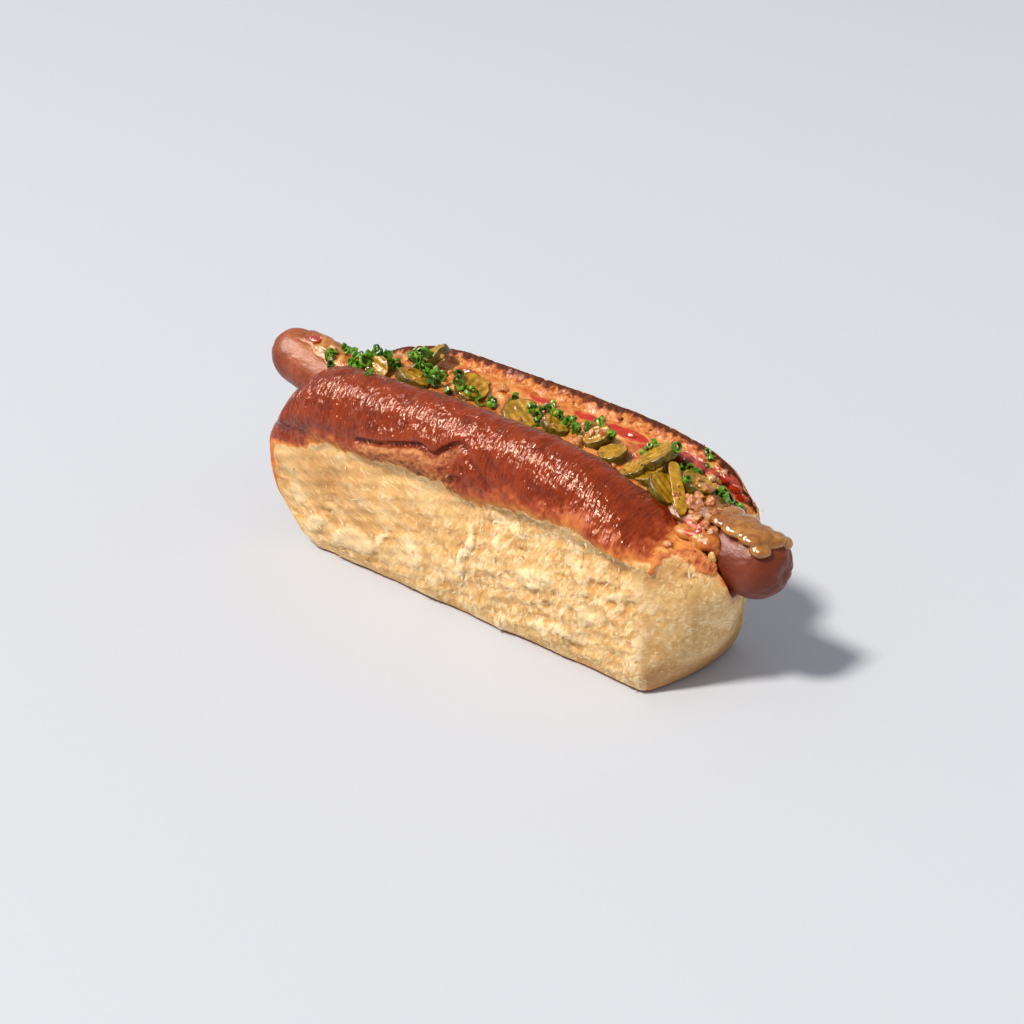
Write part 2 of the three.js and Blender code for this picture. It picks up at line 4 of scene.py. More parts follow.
import bmesh
import bpy
import numpy as np
from mathutils import Euler, Matrix, Vector
from mathutils.bvhtree import BVHTree


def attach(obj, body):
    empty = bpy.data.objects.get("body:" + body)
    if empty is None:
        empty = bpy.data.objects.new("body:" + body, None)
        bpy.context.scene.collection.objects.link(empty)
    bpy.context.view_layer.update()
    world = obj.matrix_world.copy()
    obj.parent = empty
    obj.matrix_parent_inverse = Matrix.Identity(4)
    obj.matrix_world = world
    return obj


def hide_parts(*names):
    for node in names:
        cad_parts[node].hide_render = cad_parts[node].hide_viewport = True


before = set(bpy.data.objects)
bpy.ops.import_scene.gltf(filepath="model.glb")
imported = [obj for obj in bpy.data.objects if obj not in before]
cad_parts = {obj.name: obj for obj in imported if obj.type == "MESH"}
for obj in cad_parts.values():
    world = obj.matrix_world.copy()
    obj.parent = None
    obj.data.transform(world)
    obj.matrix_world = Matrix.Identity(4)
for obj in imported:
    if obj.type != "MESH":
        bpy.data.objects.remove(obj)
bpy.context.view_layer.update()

scene = bpy.context.scene

# ------------------------------------------------------------------ studio
# One hot dog on a plain pale sweep, under one large soft key light from the camera's left, a tall window
# high over the left end that shows only as glints on what is wet or glazed, and a dim sky all round.
# The camera looks down on it by 28 degrees, along the bun from its right end.

CAMERA_AT = Vector((0.36830, -0.42768, 0.32980))
CAMERA_LOOKS = Vector((-0.57254, 0.67035, -0.47205))
CAMERA_LENS_MM = 72.2
CAMERA_SENSOR_MM = 36.0
CAMERA_CLIPS_UNDER = 0.01


def srgb(code, alpha=1.0):
    """The linear colour of an sRGB hex code such as "D8A46A"."""
    parts = [int(code[i:i + 2], 16) / 255 for i in (0, 2, 4)]
    return tuple(c / 12.92 if c <= 0.04045 else ((c + 0.055) / 1.055) ** 2.4 for c in parts) + (alpha,)


def placed(name, data):
    """A new object in the scene, at the origin."""
    made = bpy.data.objects.new(name, data)
    scene.collection.objects.link(made)
    return made


def meshed(name, points, faces=()):
    """A new object whose mesh has these points and faces."""
    mesh = bpy.data.meshes.new(name)
    mesh.from_pydata(points, [], faces)
    return placed(name, mesh)


def fill(made, inputs):
    """Gives a node its inputs, by name or in their order: plain values, or nodes or outputs to link."""
    if not isinstance(inputs, dict):
        inputs = dict(zip([k for k, socket in enumerate(made.inputs) if socket.enabled], inputs))
    for name, value in inputs.items():
        if isinstance(value, bpy.types.Node):
            value = next(output for output in value.outputs if output.enabled)
        if isinstance(value, bpy.types.NodeSocket):
            made.id_data.links.new(value, made.inputs[name])
        else:
            made.inputs[name].default_value = value


def finish_named(name):
    """A new material, and its Principled shader."""
    made = bpy.data.materials.new(name)
    made.use_nodes = True
    return made, made.node_tree.nodes["Principled BSDF"]


camera_data = bpy.data.cameras.new("camera")
camera_data.sensor_width = CAMERA_SENSOR_MM
camera_data.lens = CAMERA_LENS_MM
camera_data.clip_start = CAMERA_CLIPS_UNDER
camera = placed("camera", camera_data)
camera.location = CAMERA_AT
camera.rotation_euler = CAMERA_LOOKS.to_track_quat("-Z", "Y").to_euler()
scene.camera = camera

FLOOR_HALF = 6.0
floor_corners = [(-1, -1), (1, -1), (1, 1), (-1, 1)]
floor = meshed("floor", [(FLOOR_HALF * x, FLOOR_HALF * y, 0.0) for x, y in floor_corners], [(0, 1, 2, 3)])
# Matt painted board, which gives the eye nothing but the light that falls on it.
floor_paint, shader = finish_named("matt_painted_board")
fill(shader, {"Base Color": srgb("C4CEE0"), "Roughness": 0.9, "Specular IOR Level": 0.1})
floor.data.materials.append(floor_paint)

KEY_FROM = Vector((-0.25, -0.965, 1.5)).normalized()
KEY_SIZE = 0.75
KEY_POWER = 286.0
WINDOW_FROM = Vector((-0.57, -0.38, 0.72)).normalized()
WINDOW_LONG_WAY = Vector((0.0, -0.81, -0.58))
WINDOW_SIZE = 0.8
WINDOW_HEIGHT = 4.2
WINDOW_POWER = 470.0
LIGHT_DISTANCE = 5.0
for name, way, size, power, colour in (
        ("key", KEY_FROM, KEY_SIZE, KEY_POWER, "FFF1DD"),
        ("window", WINDOW_FROM, WINDOW_SIZE, WINDOW_POWER, "FFF4EC")):
    light_data = bpy.data.lights.new(name, "AREA")
    light_data.shape = "DISK"
    light_data.size = size
    light_data.energy = power
    light_data.color = srgb(colour)[:3]
    light = placed(name, light_data)
    light.location = way * LIGHT_DISTANCE
    light.rotation_euler = (-way).to_track_quat("-Z", "Y").to_euler()
# The window's long way is turned so that its glints run down the crown, across the bun.
light_data.shape = "RECTANGLE"
light_data.size_y = WINDOW_HEIGHT
across = WINDOW_LONG_WAY.cross(WINDOW_FROM).normalized()
light.rotation_euler = Matrix((across, WINDOW_FROM.cross(across), WINDOW_FROM)).transposed().to_euler()
light.visible_diffuse = False

world = bpy.data.worlds.new("sky")
world.use_nodes = True
fill(world.node_tree.nodes["Background"], {"Color": srgb("F2EFEC"), "Strength": 0.47})
scene.world = world
scene.view_settings.view_transform = "Standard"
scene.view_settings.look = "None"

# ------------------------------------------------------------------ bun
# A top-split brioche roll, baked against its neighbours and pulled from them: egg-washed mahogany
# crust over the two halves, torn pale crumb down the sides and at the right end, and a toasted cut
# face inside the half that leans out.

MM = 0.001
CENTRE = np.array([0.08, -0.85, 0.0])  # middle of the whole, in the millimetres used below

BUN_LEFT = -80.6  # the near wall's left end
BUN_RIGHT = 69.4  # the near wall's right end; the roll's rounded ends and its far wall reach past both
BUN_WALL_NEAR = -24.5
BUN_WALL_FAR = 23.4
SHOULDER = 42.0  # height where the walls turn in to the crown and the far rim
CROWN_FULL = 67.0
RIM_FULL = 62.5
END_SLANT = 0.15  # how far the right end stands out, for each millimetre across the bun
SLANT_FROM = 50.0
BULGE_FROM = 55.0
BULGE_HALF_WIDTH = 21.0
BULGE_Y = -4.0
LEFT_BULGE_SHARE = 0.25
SAUSAGE_Y = 1.8
SAUSAGE_RADIUS = 10.2
GROOVE_RADIUS = SAUSAGE_RADIUS + 1.1
GROOVE_TOP = 44.5
LIFT_FADES_AT = 27.0


def hermite(t, start, leaving, end, arriving):
    """A cubic from start to end, with its slope at each."""
    return ((2 * t**3 - 3 * t**2 + 1) * start + (t**3 - 2 * t**2 + t) * leaving
            + (3 * t**2 - 2 * t**3) * end + (t**3 - t**2) * arriving)


def along(pairs):
    """A smooth curve through (x, value) pairs that never overshoots them, as a function of x."""
    xs, ys = np.array(pairs, float).T
    rises = np.diff(ys) / np.diff(xs)
    slopes = np.zeros(len(xs))
    before, after = rises[:-1], rises[1:]
    same_way = before * after > 0
    slopes[1:-1][same_way] = (2 * before * after)[same_way] / (before + after)[same_way]

    def curve(x):
        x = np.clip(np.asarray(x, float), xs[0], xs[-1])
        i = np.clip(np.searchsorted(xs, x) - 1, 0, len(xs) - 2)
        span = xs[i + 1] - xs[i]
        return hermite((x - xs[i]) / span, ys[i], slopes[i] * span, ys[i + 1], slopes[i + 1] * span)

    return curve


def ramp(value, low, high):
    t = np.clip((np.asarray(value, float) - low) / (high - low), 0, 1)
    return t * t * (3 - 2 * t)


def plateau(value, starts, full, fades, gone):
    """1 between full and fades, and 0 before starts and after gone."""
    return ramp(value, starts, full) * (1 - ramp(value, fades, gone))


def bump(value, centre, width):
    return np.exp(-(((value - centre) / width) ** 2))


def lerp(a, b, t):
    return a + (b - a) * t


def lumps(u, v):
    broad = np.sin(0.41 * u + 1.3 * np.sin(0.23 * v + 1)) * np.cos(0.37 * v + 0.8)
    fine = np.sin(0.93 * u - 0.71 * v + 2) * np.cos(0.83 * v + 0.52 * u)
    return 0.62 * broad + 0.38 * fine


# The cells of the noise stand askew to the bun, so that no row of them shows.
ASKEW = np.array(Euler((0.7, 0.5, 0.9)).to_matrix())


def noise(points, seed):
    """Smooth gradient noise, nearly all between -1 and 1, one cell to each unit, for an array of points."""
    points = np.asarray(points, float) @ ASKEW
    cell = np.floor(points).astype(np.int64)
    within = points - cell
    t = within**3 * (within * (6 * within - 15) + 10)
    total = np.zeros(points.shape[:-1])
    for corner in range(8):
        step = np.array([corner & 1, corner >> 1 & 1, corner >> 2 & 1])
        at = (cell + step).astype(np.uint64)
        mixed = at[..., 0] * 374761393 + at[..., 1] * 668265263 + at[..., 2] * 2246822519 + seed * 3266489917
        mixed &= 0xFFFFFFFF
        mixed = (mixed ^ (mixed >> 13)) * 1274126177 & 0xFFFFFFFF
        mixed ^= mixed >> 16
        slope = sum((((mixed >> shift) & 255) / 127.5 - 1) * (within[..., k] - step[k])
                    for k, shift in enumerate((0, 8, 16)))
        total += np.prod(np.where(step, t, 1 - t), axis=-1) * slope
    return 1.7 * total


def layered(points, seed, layers=3):
    """Noise of several sizes, each half as large and half as strong as the one before."""
    points = np.asarray(points, float)
    return sum(noise(points * 2.03**k + 0.37 * k, seed + k) / 2**k for k in range(layers)) / 1.4


def ridged(points, seed, layers=3):
    """Layered noise folded at its middle, which leaves sharp crests between soft hollows."""
    points = np.asarray(points, float)
    folds = [0.6 - 2.6 * np.abs(noise(points * 2.07**k + 0.41 * k, seed + k)) for k in range(layers)]
    return sum(fold / 2**k for k, fold in enumerate(folds)) / 1.4


crown_height = along([
    (-82, 44), (-77, 50), (-71.5, 56), (-66.5, 60.3), (-61.5, 63), (-53, 65.2), (-34, 65.9),
    (-15, 67), (21, 67), (39, 65.5), (52, 61.5), (59, 57.5), (64, 52.5), (68, 47.5), (72, 45)])
rim_height = along([
    (-84, 44), (-77, 49), (-72, 52.8), (-65, 56.4), (-56, 59.2), (-47, 61.3), (-33, 62.5), (1, 62.5),
    (31, 62), (48, 60.5), (55, 59), (59, 57.4), (63, 54.5), (67, 49), (72, 44)])
crust_edge = along([
    (-80.6, 33), (-76.2, 35.5), (-67.8, 37.1), (-59.8, 40.4), (-52.5, 43.4), (-37.6, 43), (-23.8, 46.1),
    (-3.5, 46.5), (0.1, 43.9), (8.1, 42.9), (19, 45.8), (30, 47.5), (49, 49), (56.1, 46.9), (66.2, 44.4)])
end_bulge = along([(0, 3.5), (12, 8), (22, 12), (33, 14.5), (42, 13.5), (50, 5), (60, 1)])
heel_lift = along([(-82, 17), (-79, 13.5), (-74, 7.5), (-69, 3.2), (-62, 0)])
sausage_height = along([
    (-102.5, 54.3), (-91.6, 53), (-70.6, 48.4), (-40.6, 45), (-0.6, 43.5), (39.4, 42.5), (69.4, 42),
    (102, 42)])


def at_each(x, corners):
    """Corners whose y and z may vary with x, as an array of (y, z) at each x."""
    ones = np.ones_like(x)
    return np.stack([np.stack([y * ones, z * ones], -1) for y, z in corners], -2)


def bun_controls(x):
    """Corners of the bun's section at each x, as an array of (y, z), round from the base."""
    x = np.asarray(x, float)
    near = (crown_height(x) - SHOULDER) / (CROWN_FULL - SHOULDER)
    far = (rim_height(x) - SHOULDER) / (RIM_FULL - SHOULDER)
    near_up = lambda z: SHOULDER + (z - SHOULDER) * near
    far_up = lambda z: SHOULDER + (z - SHOULDER) * far
    near_out = lambda y: BUN_WALL_NEAR + (y - BUN_WALL_NEAR) * np.minimum(1, 2 * near)
    far_out = lambda y: BUN_WALL_FAR + (y - BUN_WALL_FAR) * np.minimum(1, 2 * far)
    lip_in = 3 * plateau(x, 54, 60, 60, 66)
    centre = sausage_height(x)
    axis = np.minimum(centre, GROOVE_TOP)

    def clear(y, z):
        dy, dz = y - SAUSAGE_Y, z - centre
        out = np.maximum(1, GROOVE_RADIUS / np.hypot(dy, dz))
        return SAUSAGE_Y + dy * out, centre + dz * out

    def groove(z, side):
        return SAUSAGE_Y + side * np.sqrt(np.maximum(0, GROOVE_RADIUS**2 - (z - axis) ** 2)), z

    return at_each(x, [
        (-1.2, 0), (-18.2, 0), (-22.7, 4), (-24.7, 14), (-25.5, 28), (BUN_WALL_NEAR, SHOULDER),
        (near_out(-26.5), near_up(48)), (near_out(-26.8), near_up(54)), (-22.7, near_up(63)),
        (-15.2, near_up(67)), clear(-8.7 + lip_in, near_up(65.5)), clear(-6 + lip_in, near_up(61)),
        clear(-7.7 + 0.5 * lip_in, near_up(53)), groove(np.minimum(axis + 1, near_up(53) - 1.5), -1),
        groove(axis - 7.6, -1), groove(axis - GROOVE_RADIUS, 1), groove(axis - 7.6, 1),
        groove(np.minimum(axis + 1, far_up(54) - 1.5), 1), clear(17.3, far_up(54)),
        (np.minimum(far_out(23), 23), far_up(62.5)), (far_out(25.1), far_up(61.5)),
        (far_out(26.8), far_up(54)), (far_out(25.6), far_up(46)), (BUN_WALL_FAR, SHOULDER),
        (22.8, 26), (21.8, 12), (19.8, 3.5), (15.3, 0)])


def closed_curve(corners, places):
    """Points at `places`, counted in corners, on the smooth closed curve through the corners."""
    count = corners.shape[-2]
    i = np.floor(places).astype(int)
    a, b, c, d = (corners[..., (i + k) % count, :] for k in (-1, 0, 1, 2))
    return hermite((places - i)[:, None], b, 0.5 * (c - a), c, 0.5 * (d - b))


def bun_core(x):
    """The line down the middle of the U that each section makes, which the ends close on."""
    near_tip = np.minimum(crown_height(x) - 6, 58)
    far_tip = np.minimum(rim_height(x) - 4, 58)
    return at_each(x, [
        (-16, near_tip), (-16.5, 30), (-12, 17), (12, 17), (17.5, 28), (20.5, 42), (22.3, far_tip)])


def nearest_on(core, flat):
    """Feet of the points `flat` on their section's core line, and how far along it they lie."""
    best = np.full(flat.shape[:2], np.inf)
    foot = np.zeros_like(flat)
    station = np.zeros(flat.shape[:2])
    passed = np.zeros(len(flat))
    for k in range(core.shape[1] - 1):
        start, run = core[:, None, k], (core[:, k + 1] - core[:, k])[:, None]
        length = np.linalg.norm(run, axis=-1)
        t = ((flat - start) * run).sum(-1) / length**2
        held = np.clip(t, 0, 1)
        here = start + run * held[..., None]
        distance = np.linalg.norm(here - flat, axis=-1)
        better = distance < best
        best = np.where(better, distance, best)
        foot = np.where(better[..., None], here, foot)
        station = np.where(better, passed[:, None] + length * held, station)
        passed = passed + length[:, 0]
    return foot, station


def end_shift(x, y, z):
    crossing = np.maximum(0, 1 - ((y - BULGE_Y) / BULGE_HALF_WIDTH) ** 2)
    to_right = np.clip((x - BULGE_FROM) / (BUN_RIGHT - BULGE_FROM), 0, 1) ** 1.5
    to_left = np.clip((x + BULGE_FROM) / (BUN_LEFT + BULGE_FROM), 0, 1) ** 1.5
    askew = END_SLANT * (y - BUN_WALL_NEAR) * np.clip((x - SLANT_FROM) / (BUN_RIGHT - SLANT_FROM), 0, 1)
    return askew + crossing * end_bulge(z) * (to_right - LEFT_BULGE_SHARE * to_left)


# How finely each stretch between two corners of the section is divided.
BUN_FINE = [3, 8, 20, 32, 30, 14, 12, 16, 13, 10, 7, 6, 4, 4, 4, 4, 4, 8, 17, 6, 7, 8, 6, 14, 11, 7, 5, 3]
bun_places = np.concatenate([k + np.arange(n) / n for k, n in enumerate(BUN_FINE)])

body_left, body_right = BUN_LEFT + 5.2, BUN_RIGHT - 1.9
end_out = along([(0, 0), (0.02, 2), (0.06, 4), (0.14, 5.6), (0.3, 6.8), (0.52, 7.6), (0.76, 8.2), (1, 8.6)])
right_insets = np.concatenate([np.linspace(0, 0.06, 5)[1:], np.linspace(0.06, 0.985, 38)[1:]])
left_insets = np.concatenate([np.linspace(0, 0.06, 4)[1:], np.linspace(0.06, 0.985, 22)[1:]])
body_stations = np.linspace(body_left, body_right, 262)
bun_stations = np.concatenate([
    (body_left - 0.85 * end_out(left_insets))[::-1], body_stations,
    body_right + 0.45 * end_out(right_insets)])
bun_insets = np.concatenate([left_insets[::-1], np.zeros(len(body_stations)), right_insets])

section = closed_curve(bun_controls(bun_stations), bun_places)
section[..., 1] = np.maximum(section[..., 1], 0)
station_x = bun_stations[:, None] * np.ones(len(bun_places))

# The crease under the crown's torn edge, the crust's edge at the right end, and the fold that runs down
# to it.
crease_height = along([
    (-40, 49.5), (-36, 50.6), (-27.1, 52.4), (-20.2, 54.2), (-16.3, 55.3), (-11.5, 56.2), (-7.1, 54.9),
    (-3.3, 57.4), (0.7, 60.0), (6, 61)])
ridge_line = along([
    (-25, 70), (-21, 73), (-17, 75), (-13.5, 76), (-11.5, 78), (-10.2, 81.5), (-9, 85.5), (-7, 88)])
fold_at = along([(50, 16), (54.2, 12.6), (57.6, 8.4), (60.9, 4.2), (63, 2.0)])

height = section[..., 1]
edge_here = crust_edge(station_x)
crease = crease_height(station_x)
inside = plateau(station_x, BUN_LEFT, BUN_LEFT + 6, BUN_RIGHT - 6, BUN_RIGHT)
crumb_relief = 0.7 * lumps(station_x + 0.4 * height, height) * ramp(height, 2, 8)
crumb_relief *= 1 - ramp(height, edge_here - 2, edge_here)
torn_part = plateau(station_x, -42, -34, 1, 5)
band_middle = 0.5 * (edge_here + crease)
torn_band = 0.7 * bump(height, band_middle, 2.6) - 0.9 * bump(height, crease - 0.6, 1.3)
relief = inside * (crumb_relief + 0.7 * bump(height, edge_here + 2.5, 2.5) + torn_part * torn_band)
section[..., 0] -= np.where(section[..., 0] < -16, relief, 0)

foot, core_station = nearest_on(bun_core(bun_stations), section)
inset_here = bun_insets[:, None] * np.ones(len(bun_places))
flat = lerp(section, foot, inset_here[..., None])
lift = heel_lift(station_x) * np.clip(1 - flat[..., 1] / LIFT_FADES_AT, 0, 1)
bun_points = np.stack([station_x + end_shift(station_x, flat[..., 0], flat[..., 1]),
                       flat[..., 0], flat[..., 1] + lift], -1)


def grid_normals(points):
    """Outward normals of a tube of points, ring by ring."""
    around = np.roll(points, -1, 1) - np.roll(points, 1, 1)
    lengthwise = np.gradient(points, axis=0)
    normal = np.cross(lengthwise, around)
    return normal / np.maximum(np.linalg.norm(normal, axis=-1, keepdims=True), 1e-9)


# The left end is rounded at its top corner, and the right end swells out beside the sausage.
end_z, end_y = bun_points[..., 2].copy(), bun_points[..., 1].copy()
bun_points[..., 0] += 4.2 * ramp(-bun_points[..., 0], 68, 82) * ramp(end_z, 35, 46) * ramp(-end_y, 8, 20)
bun_points[..., 0] += 5.0 * ramp(bun_points[..., 0], 72, 82) * bump(end_y, -7.5, 6.5) * bump(end_z, 38, 7.0)

# There the crust's lower edge has torn away, so its step is worn down.
WORN_ROUNDS = 90  # of taking each point half way between its neighbours
worn = ramp(bun_points[..., 0], 66, 71) * bump(bun_points[..., 2], 41.5, 4.5) * (bun_places < 13)
for _ in range(WORN_ROUNDS):
    between = (np.roll(bun_points, 1, 1) + np.roll(bun_points, -1, 1)) / 2
    bun_points = lerp(bun_points, between, worn[..., None])

bun_normals = grid_normals(bun_points)
if (bun_normals[len(bun_stations) // 2, :60, 1]).mean() > 0:
    bun_normals = -bun_normals

# Which part of the skin each point is on. Places round the section are counted in its corners: the near
# side up to 13, the groove from 12 to 17.5, the cut face to 19.35, and the far side from there.
place_of = bun_places[None, :] * np.ones((len(bun_stations), 1))
X, Y, Z = bun_points[..., 0], bun_points[..., 1], bun_points[..., 2]
mm = bun_points
near_side = place_of < 13
back_side = place_of > 19.3
ragged = 1.3 * layered(mm / 5.0, 11) + 0.8 * noise(mm / 1.6, 15)
sharp_left = 1 - ramp(X, -72, -56)
over_edge = flat[..., 1] - (edge_here + ragged * lerp(1.5, 0.8, sharp_left))
on_right_end = ramp(inset_here, 0.05, 0.32) * (X > 0)
on_left_end = ramp(inset_here, 0.0, 0.12) * (X < 0)
body_only = (1 - on_right_end) * (1 - on_left_end)
near_crust = ramp(over_edge, -0.9, 0.9) * near_side * (1 - ramp(place_of, 11.2, 12.2)) * (1 - on_right_end)
near_crust = np.maximum(near_crust, on_left_end * ramp(Z + 1.6 * ragged, 26, 33))
from_ridge = X - ridge_line(Y) + 0.9 * ragged
near_crust *= np.where(near_side, 1 - ramp(from_ridge, -0.6, 0.5), 1)
back_crust = ramp(flat[..., 1] - 45.0 - ragged, -1.0, 1.5) * ramp(place_of, 19.35, 19.7) * (1 - on_right_end)
crust = np.clip(np.maximum(near_crust, back_crust), 0, 1)
base_crust = (1 - ramp(Z, 0.5, 2.6)) * ramp(-bun_normals[..., 2], 0.2, 0.7)
cut_face = plateau(place_of, 17.3, 17.9, 19.35, 19.7) * body_only
groove_face = plateau(place_of, 12, 12.6, 17.2, 17.8) * body_only
torn_lip = torn_part * near_side * ramp(over_edge, 0.0, 1.4)
torn_lip = torn_lip * (1 - ramp(flat[..., 1], crease - 1.6, crease - 0.4))

# The crust's crisp torn lip over the right end, thin at the near corner and thick beside the sausage:
# the points it runs through, and its half width at each.
TORN_LIP = [(73.2, -23.6, 42.4, 0.9), (74.0, -20.2, 46.4, 1.0), (75.5, -15.7, 47.4, 1.1),
            (77.4, -13.6, 47.0, 1.8), (80.4, -12.8, 45.6, 2.7), (84.2, -11.6, 43.2, 2.5)]
ridge = np.zeros_like(X)
lip_ragged = 0.9 * noise(mm / 2.2, 94) + 0.4 * noise(mm / 0.9, 92)
for (*start, start_thick), (*end, end_thick) in zip(TORN_LIP, TORN_LIP[1:]):
    run = np.subtract(end, start)
    share = np.clip((mm - start) @ run / (run @ run), 0, 1)
    off_lip = np.linalg.norm(mm - start - share[..., None] * run, axis=-1)
    off_lip = (off_lip + lip_ragged) / lerp(start_thick, end_thick, share)
    ridge = np.maximum(ridge, (1 - ramp(off_lip, 0.75, 1.3)) * ramp(X, 70.5, 72.5))

# Torn crumb is felted at the left. Towards the right end it comes away in thin soft sheets over a
# cottony ground, and its fibres turn upright.
crumb = (1 - crust) * (1 - groove_face) * (1 - cut_face)
facing_sideways = 1 - ramp(np.abs(bun_normals[..., 2]), 0.75, 0.97)
wall = crumb * facing_sideways * (1 - ramp(np.abs(bun_normals[..., 0]), 0.4, 0.8))
end_face = crumb * ramp(bun_normals[..., 0], 0.4, 0.8)
tornness = lerp(0.12, 1.0, ramp(X + 0.9 * (20 - Z), -48, 8))
warp = 1.3 * np.stack([noise(mm / 7, 31), noise(mm / 7, 32), noise(mm / 7, 33)], -1)
slant = np.radians(lerp(-16, 68, ramp(X, -45, 20)))
fibre_along = X * np.cos(slant) + Z * np.sin(slant)
fibre_across = -X * np.sin(slant) + Z * np.cos(slant)
sheet = 2.4 * layered(np.stack([fibre_along / 13, fibre_across / 5.2, Y / 9], -1) + 0.45 * warp, 41, 4)
sheet_foot = np.floor(sheet)
sheets = sheet_foot + ramp(sheet - sheet_foot, 0.0, 0.35) - 0.7 * sheet
cotton = ridged((mm + warp) / np.array([1.9, 2.2, 2.2]), 43, 2)
flecks = noise((mm + 0.8 * warp) / 1.25, 45)
flakes = ridged(np.stack([fibre_along / 5.0, fibre_across / 3.2, Y / 4], -1) + 0.4 * warp, 47)
smooth_foot = bump(X, 33, 16) * (1 - ramp(Z + 0.8 * ragged, 5.5, 8.0))
torn_crumb = (1 - 0.85 * smooth_foot) * (0.10 * sheets + 0.15 * cotton + 0.11 * flecks + 0.12 * flakes)
felt_crumb = 0.05 * sheets + 0.06 * cotton + 0.06 * flecks
crumb_lift = wall * (0.9 * layered(mm / 14, 61, 2) + lerp(felt_crumb, torn_crumb, tornness))
crumb_lift += end_face * (0.4 * layered(mm / 8, 62) + 0.05 * sheets + 0.07 * cotton + 0.08 * flecks)

# Where more of the crumb came away, or less: x, z, half length, half width, lean in degrees, and how far
# it stands out, in millimetres.
PULLED = [
    (-43.5, 12.5, 8.5, 6.0, 20, 1.5), (-30.4, 17.8, 3.6, 1.2, 60, 1.0), (-68.5, 21.0, 4.5, 3.0, 70, 0.8),
    (-61.0, 11.5, 5.5, 3.4, 30, 1.1), (-53.5, 17.5, 4.6, 2.2, -20, -1.1), (-35.0, 8.0, 3.6, 2.4, 60, -0.9),
    (6.2, 27.7, 10.5, 1.7, 70, 1.2), (3.0, 20.0, 4.0, 2.2, 60, 0.6), (17.5, 41.2, 5.0, 1.9, -20, 0.8),
    (26.0, 39.6, 5.0, 1.7, -12, 0.7), (32.5, 27.5, 6.0, 2.8, 10, 0.7), (39.0, 10.8, 10.0, 2.6, 4, 0.9),
    (53.0, 20.5, 6.5, 4.0, 30, 0.6), (70.5, 17.5, 9.0, 2.6, 80, 0.6), (-20.0, 16.0, 9.0, 5.0, 10, 0.5),
    (48.0, 37.0, 5.0, 2.2, -10, 0.6), (18.0, 6.0, 5.0, 2.0, 75, 0.9), (-8.0, 12.0, 6.0, 4.0, 30, 0.4),
    (13.0, 16.5, 6.5, 4.0, 60, -0.8), (31.5, 21.3, 4.4, 2.4, 10, -1.2), (37.6, 19.3, 3.2, 2.2, -20, -1.0),
    (32.5, 14.3, 4.5, 1.8, 0, -0.8), (60.0, 34.5, 2.2, 1.7, 30, -0.9), (62.6, 28.8, 2.2, 1.8, 0, -0.9),
    (68.0, 29.4, 2.4, 2.0, 40, -1.0), (46.3, 7.9, 3.4, 1.6, 0, -0.7), (61.8, 11.0, 3.2, 2.0, 20, -0.8),
    (14.4, 38.8, 3.4, 2.4, 70, -0.8), (26.0, 34.8, 5.4, 2.6, 0, -0.6), (-16.0, 30.6, 7.5, 3.6, -10, -0.7),
    (-51.0, 31.0, 9.0, 4.0, -15, -0.5), (-14.8, 24.4, 3.4, 0.8, 5, -0.8), (-69.5, 12.5, 2.6, 2.2, 0, -0.8),
    (-56.0, 20.0, 3.0, 2.0, 0, -0.5), (45.0, 30.0, 4.0, 2.4, 20, -0.6), (54.0, 31.0, 3.0, 2.0, 50, -0.6)]
PULL_SHARE = 0.62
pulled = np.zeros_like(X)
for pull_x, pull_z, half_long, half_wide, lean_degrees, stands_out in PULLED:
    pull_turn = math.radians(lean_degrees)
    pull_dx = X - pull_x + 1.6 * warp[..., 0] + 0.9 * flecks
    pull_dz = Z - pull_z + 1.6 * warp[..., 1] + 0.9 * cotton
    pull_long = pull_dx * math.cos(pull_turn) + pull_dz * math.sin(pull_turn)
    pull_wide = -pull_dx * math.sin(pull_turn) + pull_dz * math.cos(pull_turn)
    pulled += stands_out * (1 - ramp(np.hypot(pull_long / half_long, pull_wide / half_wide), 0.62, 1.2))
crumb_lift += PULL_SHARE * wall * pulled

# Small holes where gas was caught: x, z and radius of each on the near wall.
GAS_HOLES = [
    (-50.5, 25.5, 1.5), (-52.0, 22.8, 1.0), (-48.0, 22.0, 1.1), (-26.0, 21.0, 1.3), (-23.0, 33.5, 0.9),
    (-31.5, 35.0, 0.9), (8.0, 27.0, 1.4), (30.0, 19.0, 1.2), (41.0, 31.0, 1.0), (-63.0, 30.0, 1.0),
    (61.5, 29.0, 2.0), (66.0, 30.0, 2.1), (57.5, 33.5, 1.6), (52.0, 27.5, 1.3), (64.0, 34.5, 1.5),
    (46.5, 33.0, 1.2), (55.0, 12.0, 1.3), (22.0, 24.0, 1.3), (37.5, 19.5, 2.2), (27.0, 33.5, 1.2),
    (-16.0, 17.5, 1.0), (-2.0, 23.0, 1.1), (70.0, 12.0, 1.1), (16.0, 12.5, 1.2)]
HOLE_DEPTH = 0.5
hole = np.zeros_like(X)
hole_ragged = 0.25 * noise(mm / 1.3, 46)
for hole_x, hole_z, hole_radius in GAS_HOLES:
    away = np.hypot(X - hole_x, (Z - hole_z) * 1.3) / hole_radius + hole_ragged
    hole = np.maximum(hole, (1 - ramp(away, 0.35, 1.1)) * (Y < -15))
crumb_lift -= HOLE_DEPTH * hole * wall

